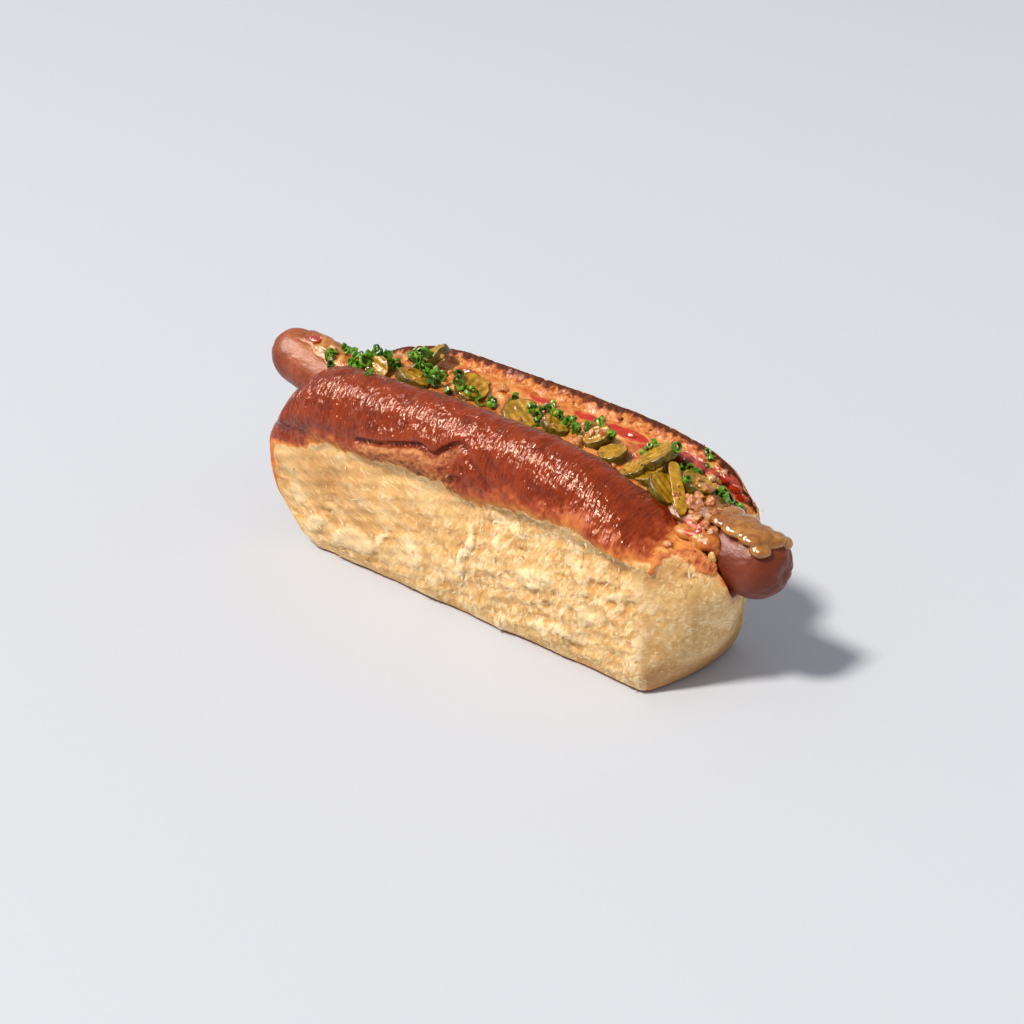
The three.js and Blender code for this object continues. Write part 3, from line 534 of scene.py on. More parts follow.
# Pores in the cut face; furrows, wrinkles, scab, crease and fold in the crust. Heights are in millimetres.
WRINKLE_HEIGHT = 0.85
CREASE_LIP = 0.55
CREASE_DEPTH = 0.9
FOLD_DEPTH = 0.7
UNDER_LIP_DEPTH = 0.6
LIP_HOLE_DEPTH = 0.9
SHEET_LEAN = 0.22
cut_pores = ramp(noise(mm / 1.9, 72), 0.40, 0.72)
cut_lift = cut_face * (0.22 * layered(mm / 2.0, 71) - 0.75 * cut_pores)
furrows = noise(np.stack([X / 2.0 + 0.8 * noise(mm / 6, 82), Y / 12, Z / 12], -1), 81)
broad_furrows = noise(np.stack([X / 6.5 + 0.8 * noise(mm / 9, 84), Y / 22, Z / 22], -1), 85)
wrinkled = near_side * bump(X, 4.0, 7.5) * bump(Z, 51, 6)
crust_lift = crust * (1 - torn_lip) * (0.06 * furrows + 0.42 * broad_furrows + 0.26 * layered(mm / 6, 83))
crust_lift += crust * wrinkled * WRINKLE_HEIGHT * ridged((mm + warp) / np.array([2.2, 3.0, 4.2]), 88)
scab_lift = 0.26 * ridged((mm + warp) / np.array([2.8, 2.8, 2.4]), 91) + 0.16 * noise(mm / 1.2, 93)
crisp_ridge = ridge * (0.75 + 0.5 * noise(mm / 1.7, 90))
below_ridge = (1 - ridge) * bump(X, 78.6, 3.6) * bump(Y, -17.6, 3.6) * bump(Z, 43.4, 2.6)
lip_hole = bump(X, 81.1, 1.3) * bump(Y, -16.0, 1.6) * bump(Z, 41.6, 0.9)
crease_cut = torn_part * near_side * bump(height, crease, 0.9)
above_crease = plateau(height - crease, 0.0, 1.0, 2.0, 6.0)
crust_lift += torn_part * near_side * CREASE_LIP * above_crease
fold = near_side * bump(X, fold_at(Z), 1.9) * plateau(Z, 50, 53, 60, 62.5)
fade_ends = 1 - ramp(inset_here, 0.9, 0.98)
lift_by = crumb_lift + cut_lift + crust_lift + torn_lip * scab_lift + crisp_ridge
lift_by -= UNDER_LIP_DEPTH * below_ridge + LIP_HOLE_DEPTH * lip_hole
lift_by -= CREASE_DEPTH * crease_cut + FOLD_DEPTH * fold
lift_by *= fade_ends * ramp(Z, 0.2, 2.0)
bun_points = bun_points + bun_normals * lift_by[..., None]
lean = wall * tornness * SHEET_LEAN * np.clip(sheets, -1, 1)
bun_points[..., 0] += lean * np.sin(slant)
bun_points[..., 2] -= lean * np.cos(slant)
bun_points[..., 2] = np.maximum(bun_points[..., 2], 0)


def blurred(values, reach):
    """The mean of a grid's values over a few neighbours each way, round the bun and along it."""
    for axis in (0, 1):
        values = sum(np.roll(values, k, axis) for k in range(-reach, reach + 1)) / (2 * reach + 1)
    return values


# Painted shade and highlight: how far each point lies below its near neighbours, and how deep in the wall.
# The material darkens the point in hollows and lightens it where it stands out.
hollow = np.clip(0.5 - 1.1 * (lift_by - blurred(lift_by, 4)), 0, 1)
deep = np.clip(0.5 - 0.42 * (lift_by - blurred(lift_by, 16)) - 0.26 * wall * pulled, 0, 1)


def skin(name, rings, caps):
    """A mesh over closed rings of points, in this file's millimetres, with the faces that close its ends."""
    count, width = rings.shape[:2]
    a = np.arange(count - 1)[:, None] * width + np.arange(width)
    b = np.arange(count - 1)[:, None] * width + (np.arange(width) + 1) % width
    quads = np.stack([a, b, b + width, a + width], -1).reshape(-1, 4)
    return meshed(name, ((rings.reshape(-1, 3) - CENTRE) * MM).tolist(), quads.tolist() + caps)


def points_of(mesh):
    """Where a mesh's points stand, in metres, as an array."""
    places = np.empty(len(mesh.vertices) * 3)
    mesh.vertices.foreach_get("co", places)
    return places.reshape(-1, 3)


def facing_out(made):
    """Turns a closed mesh's faces outwards, by the sign of its volume, and smooths its shading."""
    mesh = made.data
    mesh.calc_loop_triangles()
    triangles = np.empty(len(mesh.loop_triangles) * 3, int)
    mesh.loop_triangles.foreach_get("vertices", triangles)
    a, b, c = points_of(mesh)[triangles.reshape(-1, 3).T]
    if np.einsum("ij,ij->i", a, np.cross(b, c)).sum() < 0:
        mesh.flip_normals()
    mesh.shade_smooth()
    return made


def paint(made, **values):
    """Stores one number for each point, for the material to read."""
    for name, numbers in values.items():
        layer = made.data.attributes.new(name, "FLOAT", "POINT")
        layer.data.foreach_set("value", np.asarray(numbers, np.float32).ravel())


def end_cap(first, stations, backwards):
    """Faces that close an end ring whose points lie in pairs along the core line."""
    count = len(stations)
    low, high = int(np.argmin(stations)), int(np.argmax(stations))
    ahead = [low]
    while ahead[-1] != high:
        ahead.append((ahead[-1] + 1) % count)
    back = [low]
    while back[-1] != high:
        back.append((back[-1] - 1) % count)
    faces = []
    i = j = 0
    while i < len(ahead) - 1 or j < len(back) - 1:
        step_ahead = j == len(back) - 1 or (
            i < len(ahead) - 1 and stations[ahead[i + 1]] <= stations[back[j + 1]])
        face = [ahead[i], ahead[i + 1] if step_ahead else back[j + 1], back[j]]
        if len(set(face)) == 3:
            faces.append([first + k for k in (face[::-1] if backwards else face)])
        if step_ahead:
            i += 1
        else:
            j += 1
    return faces


bun_width = len(bun_places)
last_ring = (len(bun_stations) - 1) * bun_width
bun_caps = end_cap(0, core_station[0], True) + end_cap(last_ring, core_station[-1], False)
bun = facing_out(skin("brioche_roll", bun_points, bun_caps))

# Ketchup and chopped tomato: x, y and the two half widths of each patch.
TOMATO = [(56.5, 17.0, 8.0, 4.5), (65.0, 19.0, 4.0, 3.0), (70.2, 20.5, 3.5, 3.0), (74.9, -6.2, 3.4, 2.4),
          (-31.4, 17.8, 4.0, 1.8), (-83.4, 1.0, 2.6, 2.2), (33.0, 17.0, 9.0, 2.6), (45.0, 14.8, 6.0, 2.4),
          (18.0, 18.0, 6.0, 1.9), (0.0, 17.5, 5.0, 1.6)]


def tomato_at(x, y):
    patches = [1.15 - 0.75 * (((x - a) / c) ** 2 + ((y - b) / d) ** 2) for a, b, c, d in TOMATO]
    return np.max(patches, axis=0).clip(0, 1)


# How brown each point is baked, from 0, white crumb, to 1, mahogany.
gradient = lerp(7.5, 3.5, sharp_left)
bake = crust * lerp(0.40, 0.90, ramp(over_edge, 0.1, gradient + 2.0 * ragged))
bake = np.where(back_side, crust * 0.92, bake)
bake = lerp(bake, 0.60 + 0.16 * layered(mm / 4.0, 95), torn_lip * (1 - wrinkled))
bake = lerp(bake, np.minimum(bake, 0.34 + 0.16 * noise(mm / 1.5, 98)),
            ramp(X + 0.8 * ragged, 70.0, 71.4) * near_side)
bake = np.maximum(bake, ridge * (0.61 + 0.26 * noise(mm / 1.5, 93)))
bake = np.maximum(bake, 0.45 * ramp(body_left - X + 0.5 * ragged, 1.2, 2.6) * ramp(Z, 5, 12))
bake = np.maximum(bake, base_crust * 0.45)
bake = np.maximum(bake, on_left_end * lerp(0.45, 0.9, ramp(Z, 34, 50)) * ramp(Z + 5 * ragged, 6, 30))
rim_band = cut_face * ramp(place_of + 0.34 * layered(mm / 2.6, 96, 4), 18.78, 19.18)
# The toast is painted deeper in the cut face's pores, as painted shade.
toast = np.clip(cut_face * (0.34 + 0.20 * ramp(place_of, 18.2, 19.0) + 0.18 * cut_pores) + rim_band, 0, 1)
# Painted shade, darker towards the foot of the right end's undercut face.
low_face = end_face * (1 - ramp(Z + 3 * ragged, 1.5, 21))
stained = (cut_face + groove_face) * (1 - ramp(place_of + 0.9 * layered(mm / 5, 97, 4), 18.2, 18.8))
near_lip_stain = ramp(place_of, 11.4, 12.2) * (place_of < 14) * body_only
# Painted shade under the crisp ridge, in the lip's hole and on the crumb just under the crust's edge. The
# smooth foot is a little darker.
greyed = 0.5 * below_ridge + 0.9 * lip_hole + 0.10 * wall * smooth_foot
greyed += 0.40 * wall * bump(over_edge, -1.6, 2.6) * (X > -40)
# Patches of the near wall painted darker, the one at its left edge as painted shade: x, half length, z, half
# height, and how dark.
for patch_x, half_long, patch_z, half_high, dark in (
        (-77, 3.5, 29, 5, 0.70), (-55, 20, 31, 10, 0.85), (-45, 16, 13, 9, 0.30), (-14, 12, 30, 7, 0.40)):
    greyed += dark * wall * bump(X, patch_x, half_long) * bump(Z, patch_z, half_high)
# Besides bake, toast and stains, these measures carry painted shade and highlight: in hollows, gas holes and
# the lip's hole, deep in the wall, under ledges and low on the end face.
paint(bun, bake=bake, toast=toast, deep=deep, tan=np.clip(low_face + greyed, 0, 1),
      sauce=np.clip(stained + near_lip_stain, 0, 1),
      hollow=np.clip(hollow + 0.55 * hole + 0.5 * lip_hole, 0, 1),
      scab=np.maximum(torn_lip * (1 - wrinkled), 0.3 * ridge), torn=tornness * (1 - 0.85 * end_face),
      tomato=cut_face * tomato_at(X, Y))

bun_uv = bun.data.uv_layers.new(name="along_and_round")
loop_vertex = np.empty(len(bun.data.loops), int)
bun.data.loops.foreach_get("vertex_index", loop_vertex)
steps = np.linalg.norm(np.diff(bun_points, axis=1, append=bun_points[:, :1]), axis=-1)
round_mm = np.cumsum(steps.mean(0)) - steps.mean(0)
uv = np.stack([X, np.broadcast_to(round_mm, X.shape)], -1).reshape(-1, 2)[loop_vertex]
bun_uv.data.foreach_set("uv", uv.astype(np.float32).ravel())

# Brioche: soft matt crumb, and an egg-washed crust with a thin gloss that its fine wrinkles break up.
brioche, shader = finish_named("egg_washed_brioche")


def node(owner, kind, inputs=(), **settings):
    """Adds one node to a material or a tree, with its settings and its inputs."""
    tree = getattr(owner, "node_tree", owner)
    made = tree.nodes.new(tree.bl_idname.removesuffix("Tree") + kind)
    for name, value in settings.items():
        setattr(made, name, value)
    fill(made, inputs)
    return made


def varied(material, level, *variations):
    """A level raised and lowered by each variation, a noise about a half, by its share."""
    level = node(material, "Math", [level, -0.5 * sum(share for _, share in variations)])
    for variation, share in variations:
        level = node(material, "Math", [variation, share, level], operation="MULTIPLY_ADD")
    return level


def with_stops(band, stops):
    """Gives a colour ramp its stops, each a place and a colour."""
    while len(band.color_ramp.elements) < len(stops):
        band.color_ramp.elements.new(0.5)
    for element, (place, code) in zip(band.color_ramp.elements, stops):
        element.position = place
        element.color = srgb(code)
    return band


def tinted(material, colour, tints):
    """A colour under thin tints: a measure, where each starts and is full, its most, and its colour."""
    for measure, start, full, most, code in tints:
        share = node(material, "MapRange", [measure, start, full, 0.0, most])
        colour = node(material, "Mix", [share, colour, srgb(code)], data_type="RGBA")
    return colour


def millimetres(material, stretch=(1, 1, 1)):
    """Object coordinates in millimetres, stretched by a factor along each axis."""
    return node(material, "Mapping", {
        "Vector": node(material, "TexCoord").outputs["Object"], "Scale": tuple(1000.0 / s for s in stretch)})


# In each noise texture the numbers are its cells to the millimetre, its detail and its roughness, and
# where there are two more, its lacunarity and its distortion.
place_mm = millimetres(brioche)
bake_here, hollow_here, deep_here, scab_here, torn_here, tan_here, toast_here, sauce_here, tomato_here = (
    node(brioche, "Attribute", attribute_name=name).outputs["Fac"]
    for name in ("bake", "hollow", "deep", "scab", "torn", "tan", "toast", "sauce", "tomato"))


def fibres(rise_degrees, length, width):
    """Grainy noise drawn out along fibres that lie along the bun and rise by an angle; in millimetres."""
    lie = node(brioche, "Mapping", {
        "Vector": node(brioche, "TexCoord").outputs["Object"],
        "Rotation": (0, -math.radians(rise_degrees), 0),
        "Scale": (length * MM, width * MM, width * MM)}, vector_type="TEXTURE")
    return node(brioche, "TexNoise", [lie, 1.0, 6.0, 0.68, 2.0, 1.0])


# The crumb: pale and mottled, with painted highlight where it stands out and painted shade in its pits and
# hollows, under ledges and low on the end face.
# Where it came away it is streaked along its fibres, partly in its own tone and partly as painted highlight
# and shade of the strands.
crumb_fine = node(brioche, "Mix", [torn_here, fibres(-18, 5.0, 1.4), fibres(62, 4.6, 2.0)])
pit_share = node(brioche, "Math", [torn_here, 0.28, 0.42], operation="MULTIPLY_ADD")
crumb_mottle = node(brioche, "TexNoise", [place_mm, 0.14, 4.0, 0.6])
crumb_colour = with_stops(node(brioche, "ValToRGB", [crumb_mottle]), [
    (0.30, "D3A76D"), (0.46, "DEB67B"), (0.58, "E6C28A"), (0.74, "F1D5A4")])
# Painted shade and highlight from the wall's depth and hollows, painted strand shade and highlight along the
# fibres, then painted shade under ledges and low on the end face.
crumb_colour = tinted(brioche, crumb_colour, [
    (deep_here, 0.45, 0.9, 0.62, "D29F60"), (deep_here, 0.5, 0.1, 0.65, "FFEBC0"),
    (hollow_here, 0.5, 1.0, 0.42, "CA985A"), (hollow_here, 0.42, 0.10, 0.5, "FFF0CC"),
    (crumb_fine, 0.50, 0.36, pit_share, "C8965A"), (crumb_fine, 0.51, 0.64, 0.75, "FFEFC6"),
    (tan_here, 0.0, 1.0, 0.75, "A87644")])

# The cut face's toast, from butter yellow to nearly black at its rim.
toast_speckle = node(brioche, "TexNoise", [place_mm, 0.55, 6.0, 0.75])
# The toast is also painted darker in its hollows, as painted shade; the speckle is its own.
toast_level = varied(brioche, toast_here, (toast_speckle, 1.6), (hollow_here, 0.35))
toast_colour = with_stops(node(brioche, "ValToRGB", [toast_level]), [
    (0.05, "F2D8A4"), (0.28, "DFAE72"), (0.48, "C0763A"), (0.68, "8A3E1A"), (0.92, "421608")])
toasted = node(brioche, "MapRange", [toast_here, 0.02, 0.14])
crumb_colour = node(brioche, "Mix", [toasted, crumb_colour, toast_colour], data_type="RGBA")

# The crust: streaked and mottled mahogany with fine pale cracks, and a dull brown scab where it tore.
roll_uv = node(brioche, "UVMap", uv_map="along_and_round")
streak_map = node(brioche, "Mapping", {"Vector": roll_uv, "Scale": (1 / 0.8, 1 / 6.0, 1.0)})
streak = node(brioche, "TexNoise", [streak_map, 1.0, 4.0, 0.62, 2.0, 0.5])
crust_mottle = node(brioche, "TexNoise", [place_mm, 0.20, 5.0, 0.62])
# The crust is painted a little darker in its hollows, as painted shade.
bake_level = varied(brioche, bake_here, (streak, 0.16), (crust_mottle, 0.45), (hollow_here, 0.12))
crust_colour = with_stops(node(brioche, "ValToRGB", [bake_level]), [
    (0.12, "F0C488"), (0.32, "DB9650"), (0.50, "BE6B34"), (0.70, "A24620"), (0.88, "883214"),
    (1.0, "5E1A08")])
# The torn scab is painted darker in its hollows, as painted shade.
scab_level = varied(brioche, bake_here, (hollow_here, 0.7))
scab_colour = with_stops(node(brioche, "ValToRGB", [scab_level]), [
    (0.30, "D8A06A"), (0.48, "BC7C50"), (0.66, "9C5C36"), (0.85, "6A301A")])
scab_share = node(brioche, "MapRange", [scab_here, 0.0, 1.0, 0.0, 0.85])
crust_colour = node(brioche, "Mix", [scab_share, crust_colour, scab_colour], data_type="RGBA")
crust_colour = tinted(brioche, crust_colour, [
    (node(brioche, "Mix", [0.3, streak, crust_mottle]), 0.58, 0.68, 0.4, "C8764A")])
on_crust = node(brioche, "MapRange", [varied(brioche, bake_here, (crumb_fine, 0.3)), 0.08, 0.30])
bun_colour = node(brioche, "Mix", [on_crust, crumb_colour, crust_colour], data_type="RGBA")

# Dressing and tomato have stained it, and wet it, where they lie.
sauce_noise = node(brioche, "TexNoise", [place_mm, 0.30, 5.0, 0.65])
sauce_level = node(brioche, "MapRange", [sauce_noise, 0.40, 0.56, 0.0, sauce_here])
sauce_share = node(brioche, "MapRange", [sauce_level, 0.0, 1.0, 0.0, 0.9])
sauce_mottle = node(brioche, "TexNoise", [place_mm, 0.16, 3.0, 0.5])
sauce_colour = with_stops(node(brioche, "ValToRGB", [sauce_mottle]), [
    (0.40, "D9702F"), (0.52, "E08C4B"), (0.62, "C9461F")])
bun_colour = node(brioche, "Mix", [sauce_share, bun_colour, sauce_colour], data_type="RGBA")
tomato_level = node(brioche, "MapRange", [varied(brioche, tomato_here, (toast_speckle, 0.8)), 0.38, 0.55])
bun_colour = tinted(brioche, bun_colour, [(tomato_level, 0.0, 1.0, 0.9, "B4301A")])
wet = node(brioche, "Math", [sauce_share, tomato_level], operation="MAXIMUM")
unscabbed = node(brioche, "MapRange", [scab_here, 0.0, 1.0, 1.0, 0.3])
gloss = node(brioche, "MapRange", [bake_here, 0.45, 0.85, 0.0, unscabbed])
gloss = node(brioche, "Math", [gloss, wet], operation="MAXIMUM")

# Fine relief: fluff and grain on the crumb, and on the crust lengthwise wrinkles, and blisters on the scab.
crumb_fluff = node(brioche, "Math", [node(brioche, "TexNoise", [place_mm, 1.1, 5.0, 0.65]), 0.6, crumb_fine],
                   operation="MULTIPLY_ADD")
fluff_share = node(brioche, "Math", [torn_here, 0.6, 0.4], operation="MULTIPLY_ADD")
crumb_fluff = node(brioche, "Math", [crumb_fluff, fluff_share], operation="MULTIPLY")
crumb_bump = node(brioche, "Bump", {"Strength": 0.8, "Distance": 0.0005, "Height": crumb_fluff})
blisters = node(brioche, "TexNoise", [place_mm, 0.95, 3.0, 0.55])
blisters = node(brioche, "Math", [scab_here, blisters], operation="MULTIPLY")
wrinkle_map = node(brioche, "Mapping", {"Vector": roll_uv, "Scale": (1 / 1.2, 1 / 5.0, 1.0)})
crust_grain = varied(
    brioche, node(brioche, "TexNoise", [wrinkle_map, 1.0, 1.5, 0.5, 2.0, 0.6]),
    (node(brioche, "TexNoise", [place_mm, 0.45, 1.0, 0.4]), 0.9), (blisters, 2.2))
crust_bump = node(brioche, "Bump", {"Strength": 1.0, "Distance": 0.0007, "Height": crust_grain})
fill(shader, {
    "Base Color": bun_colour, "Roughness": node(brioche, "MapRange", [gloss, 0.0, 1.0, 0.9, 0.16]),
    "Normal": node(brioche, "Mix", [on_crust, crumb_bump, crust_bump], data_type="VECTOR"),
    "Specular IOR Level": 0.42, "Specular Tint": srgb("FFDCC8"),
    "Coat Weight": wet, "Coat Roughness": 0.12, "Coat IOR": 1.45, "Coat Normal": crust_bump,
    "Subsurface Weight": 0.4, "Subsurface Radius": (1.0, 0.55, 0.25), "Subsurface Scale": 0.002})
bun.data.materials.append(brioche)
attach(bun, "root")
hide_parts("bun")

# ------------------------------------------------------------------ crumb tufts
# Where the roll was pulled from its neighbours the crumb stands up in soft tufts and flakes, 1 to 3 mm
# long. They are the roll's own crumb, so they take its finish; the ones on the torn edge are baked.

TUFT_COUNT = 1300
TUFT_TILT = 0.30


def leaf(name, length, width, thickness, curl):
    """A thin tapering flake that lies along X from its root, and curls up to its tip."""
    stations = [(0.0, 0.55), (0.3, 1.0), (0.62, 0.8), (1.0, 0.12)]
    corners, faces = [], []
    for s, w in stations:
        lift = curl * s * s * length
        for dy, dz in ((-0.5, 0), (0, 0.5), (0.5, 0), (0, -0.5)):
            corners.append((s * length * MM, dy * w * width * MM, (lift + dz * thickness * w) * MM))
    for k in range(len(stations) - 1):
        for j in range(4):
            faces.append((4 * k + j, 4 * k + (j + 1) % 4, 4 * k + 4 + (j + 1) % 4, 4 * k + 4 + j))
    faces += [(3, 2, 1, 0), tuple(4 * len(stations) - 4 + j for j in range(4))]
    return facing_out(meshed(name, corners, faces))


def strewn(name, places, turns, sizes, kinds, shapes, material, carried=None, smooth_under=0.7):
    """Sets one of a few shapes at each place, turned and sized, by Geometry Nodes."""
    made = meshed(name, ((np.asarray(places) - CENTRE) * MM).tolist())
    stored = [("turn", "FLOAT_VECTOR", "vector", turns), ("size", "FLOAT_VECTOR", "vector", sizes),
              ("kind", "INT", "value", kinds)]
    stored += [(label, "FLOAT", "value", values) for label, values in (carried or {}).items()]
    for label, kind, field, values in stored:
        layer = made.data.attributes.new(label, kind, "POINT")
        layer.data.foreach_set(field, np.asarray(values, np.int32 if kind == "INT" else np.float32).ravel())
    group = bpy.data.node_groups.new(name, "GeometryNodeTree")
    labels = [f"Shape {k + 1}" for k in range(len(shapes))]
    wanted = [("Sites", "Geometry")] + [(label, "Object") for label in labels] + [("Finish", "Material")]
    for label, kind in wanted:
        group.interface.new_socket(label, in_out="INPUT", socket_type="NodeSocket" + kind)
    group.interface.new_socket("Strewn", in_out="OUTPUT", socket_type="NodeSocketGeometry")
    come_in = group.nodes.new("NodeGroupInput").outputs
    gathered = node(group, "GeometryToInstance")
    for label in labels[::-1]:
        shape = node(group, "ObjectInfo", {"Object": come_in[label], "As Instance": True})
        fill(gathered, [shape.outputs["Geometry"]])
    turn, size, kind = (
        node(group, "InputNamedAttribute", {"Name": label}, data_type=data_type)
        for label, data_type in (("turn", "FLOAT_VECTOR"), ("size", "FLOAT_VECTOR"), ("kind", "INT")))
    each = node(group, "InstanceOnPoints", {
        "Points": node(group, "MeshToPoints", {"Mesh": come_in["Sites"]}), "Instance": gathered,
        "Pick Instance": True, "Instance Index": kind, "Rotation": turn, "Scale": size})
    real = node(group, "RealizeInstances", {"Geometry": each})
    finished = node(group, "SetMaterial", {"Geometry": real, "Material": come_in["Finish"]})
    fill(group.nodes.new("NodeGroupOutput"), [finished])
    maker = made.modifiers.new(name, "NODES")
    maker.node_group = group
    sockets = [item for item in group.interface.items_tree if item.in_out == "INPUT"][1:]
    for socket, value in zip(sockets, shapes + [material]):
        maker[socket.identifier] = value
    result = bpy.data.meshes.new_from_object(made.evaluated_get(bpy.context.evaluated_depsgraph_get()))
    made.modifiers.clear()
    made.data = result
    result.shade_smooth()
    result.set_sharp_from_angle(angle=smooth_under)
    for shape in shapes:
        bpy.data.objects.remove(shape)
    return made


tuft_draw = np.random.default_rng(31)
tuft_weight = wall * ramp(tornness, 0.4, 1.0) * ramp(flakes, -0.2, 0.4) * (1 - hole)
tuft_weight += 0.08 * wall + 0.03 * end_face
tuft_weight *= (Z > 3) * (1 - plateau(from_ridge, -3, -1, 5, 7))
for wisp_x in (-54.0, -50.0, -12.0, 3.0, 17.5, 44.0, 49.0, 60.0, 66.0, 69.5):
    tuft_weight += 3.0 * near_side * bump(X, wisp_x, 1.7) * bump(Z, 4.0, 2.4) * (Z > 1.8)
tuft_weight += 0.8 * near_side * body_only * bump(over_edge, 0.0, 0.9) * (Z > 30) * (X > -70)
tuft_weight += 0.4 * torn_lip
ring_steps, lengthwise_steps = np.gradient(bun_points, axis=0), np.gradient(bun_points, axis=1)
tuft_area = np.linalg.norm(np.cross(ring_steps, lengthwise_steps), axis=-1)
tuft_share = (tuft_weight * tuft_area * (inset_here < 0.9)).ravel()
chosen = tuft_draw.choice(len(tuft_share), TUFT_COUNT, replace=False, p=tuft_share / tuft_share.sum())
tuft_normals = bun_normals.reshape(-1, 3)[chosen]
tuft_slant = slant.ravel()[chosen] + tuft_draw.normal(0, 0.5, TUFT_COUNT)
fibre = np.stack([np.cos(tuft_slant), tuft_draw.normal(0, 0.25, TUFT_COUNT), np.sin(tuft_slant)], -1)
fibre *= np.where(tuft_draw.random(TUFT_COUNT) < 0.25, -1, 1)[:, None]
fibre[:, 2] = np.where(Z.ravel()[chosen] < 7, np.abs(fibre[:, 2]) + 0.2, fibre[:, 2])
fibre -= (fibre * tuft_normals).sum(-1)[:, None] * tuft_normals
fibre /= np.linalg.norm(fibre, axis=-1)[:, None]
tuft_turns = []
for way, normal, tilt in zip(fibre, tuft_normals, tuft_draw.normal(TUFT_TILT, 0.18, TUFT_COUNT)):
    x_axis = Vector(way) * math.cos(tilt) + Vector(normal) * math.sin(tilt)
    y_axis = Vector(normal).cross(Vector(way))
    tuft_turns.append(Matrix((x_axis, y_axis, x_axis.cross(y_axis))).transposed().to_euler()[:])
tuft_length = tuft_draw.uniform(0.45, 1.15, TUFT_COUNT)
tuft_sizes = np.stack([tuft_length, tuft_length * tuft_draw.uniform(0.7, 1.4, TUFT_COUNT), tuft_length], -1)
tufts = strewn(
    "crumb_tufts", bun_points.reshape(-1, 3)[chosen] - 0.12 * tuft_normals, tuft_turns, tuft_sizes,
    tuft_draw.integers(0, 3, TUFT_COUNT), [
        leaf("tuft_a", 2.0, 0.62, 0.34, 0.14), leaf("tuft_b", 1.5, 0.85, 0.34, 0.05),
        leaf("tuft_c", 2.8, 0.50, 0.30, -0.10)],
    # The tufts' cavity value, a little under a half, paints them slightly lighter, as painted highlight.
    brioche, {"bake": np.minimum(bake.ravel()[chosen], 0.5), "hollow": 0.38 + 0 * tuft_length,
              "scab": np.ones(TUFT_COUNT), "torn": np.ones(TUFT_COUNT)}, smooth_under=1.2)
for vertex in tufts.data.vertices:
    vertex.co.z = max(vertex.co.z, 0.0)
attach(tufts, "root")

# ------------------------------------------------------------------ sausage
# One smoked frankfurter in a tight natural casing. It lies in the bun's groove, bends up over the
# left end, and stands out of the bun at both ends; each end is drawn in where the casing was tied.

SAUSAGE_LEFT = -92.0
SAUSAGE_RIGHT = 92.1
SAUSAGE_SIDES = 72


def sausage_radius(x):
    return SAUSAGE_RADIUS - 1.1 * (1 - ramp(x, -100, -60)) + 0.12 * np.sin(0.21 * x)


def flat_caps(rings):
    """One face over each end ring."""
    count, width = rings.shape[:2]
    return [list(range(width))[::-1], list(range((count - 1) * width, count * width))]


turns = np.linspace(0.02, 0.98, 20) * math.pi / 2
left_radius, right_radius = sausage_radius(SAUSAGE_LEFT), sausage_radius(SAUSAGE_RIGHT)
between_ends = np.linspace(SAUSAGE_LEFT, SAUSAGE_RIGHT, 190)[1:-1]
sausage_x = np.concatenate([
    SAUSAGE_LEFT - left_radius * np.cos(turns), between_ends, SAUSAGE_RIGHT + right_radius * np.sin(turns)])
sausage_r = np.concatenate([
    left_radius * np.sin(turns), sausage_radius(between_ends), right_radius * np.cos(turns)])
theta = np.arange(SAUSAGE_SIDES) * 2 * math.pi / SAUSAGE_SIDES
SX, TH = np.meshgrid(sausage_x, theta, indexing="ij")
SR = sausage_r[:, None] * np.ones_like(TH)
past_end = np.maximum(ramp(SX, 97, 102), ramp(-SX, 97, 101))
puckers = past_end * 0.45 * np.cos(9 * TH + 1.5 * np.sin(2 * TH)) * (SR / SAUSAGE_RADIUS)
swell = 0.16 * layered(np.stack([SX / 9, np.cos(TH) * 1.2, np.sin(TH) * 1.2], -1), 101)
SR = SR + puckers + swell * (SR / SAUSAGE_RADIUS)
drawn_in = 1.3 * bump(SR, 0, 2.6) * (SX > 0) + 0.9 * bump(SR, 0, 2.4) * (SX < 0)
sausage_points = np.stack([SX - np.sign(SX) * drawn_in, SAUSAGE_Y + SR * np.cos(TH),
                           sausage_height(SX) + SR * np.sin(TH)], -1)
sausage = facing_out(skin("frankfurter", sausage_points, flat_caps(sausage_points)))
film = plateau(SX, -100, -84, -80, -60) * ramp(np.sin(TH), 0.2, 0.8)
# The casing is darker towards its right end.
smoked = ramp(SX, 20, 95) * (0.8 + 0.4 * layered(np.stack([SX / 12, np.cos(TH), np.sin(TH)], -1), 105))
paint(sausage, film=film, smoked=smoked)

# Smoked casing: pinkish brown and faintly mottled, with a tight satin gloss.
casing, shader = finish_named("smoked_sausage_casing")
place_mm = millimetres(casing)
smoked_here, film_here = (
    node(casing, "Attribute", attribute_name=name).outputs["Fac"] for name in ("smoked", "film"))
casing_colour = with_stops(node(casing, "ValToRGB", [node(casing, "TexNoise", [place_mm, 0.11, 5.0, 0.6])]), [
    (0.36, "773218"), (0.5, "8B3F22"), (0.66, "9F5233")])
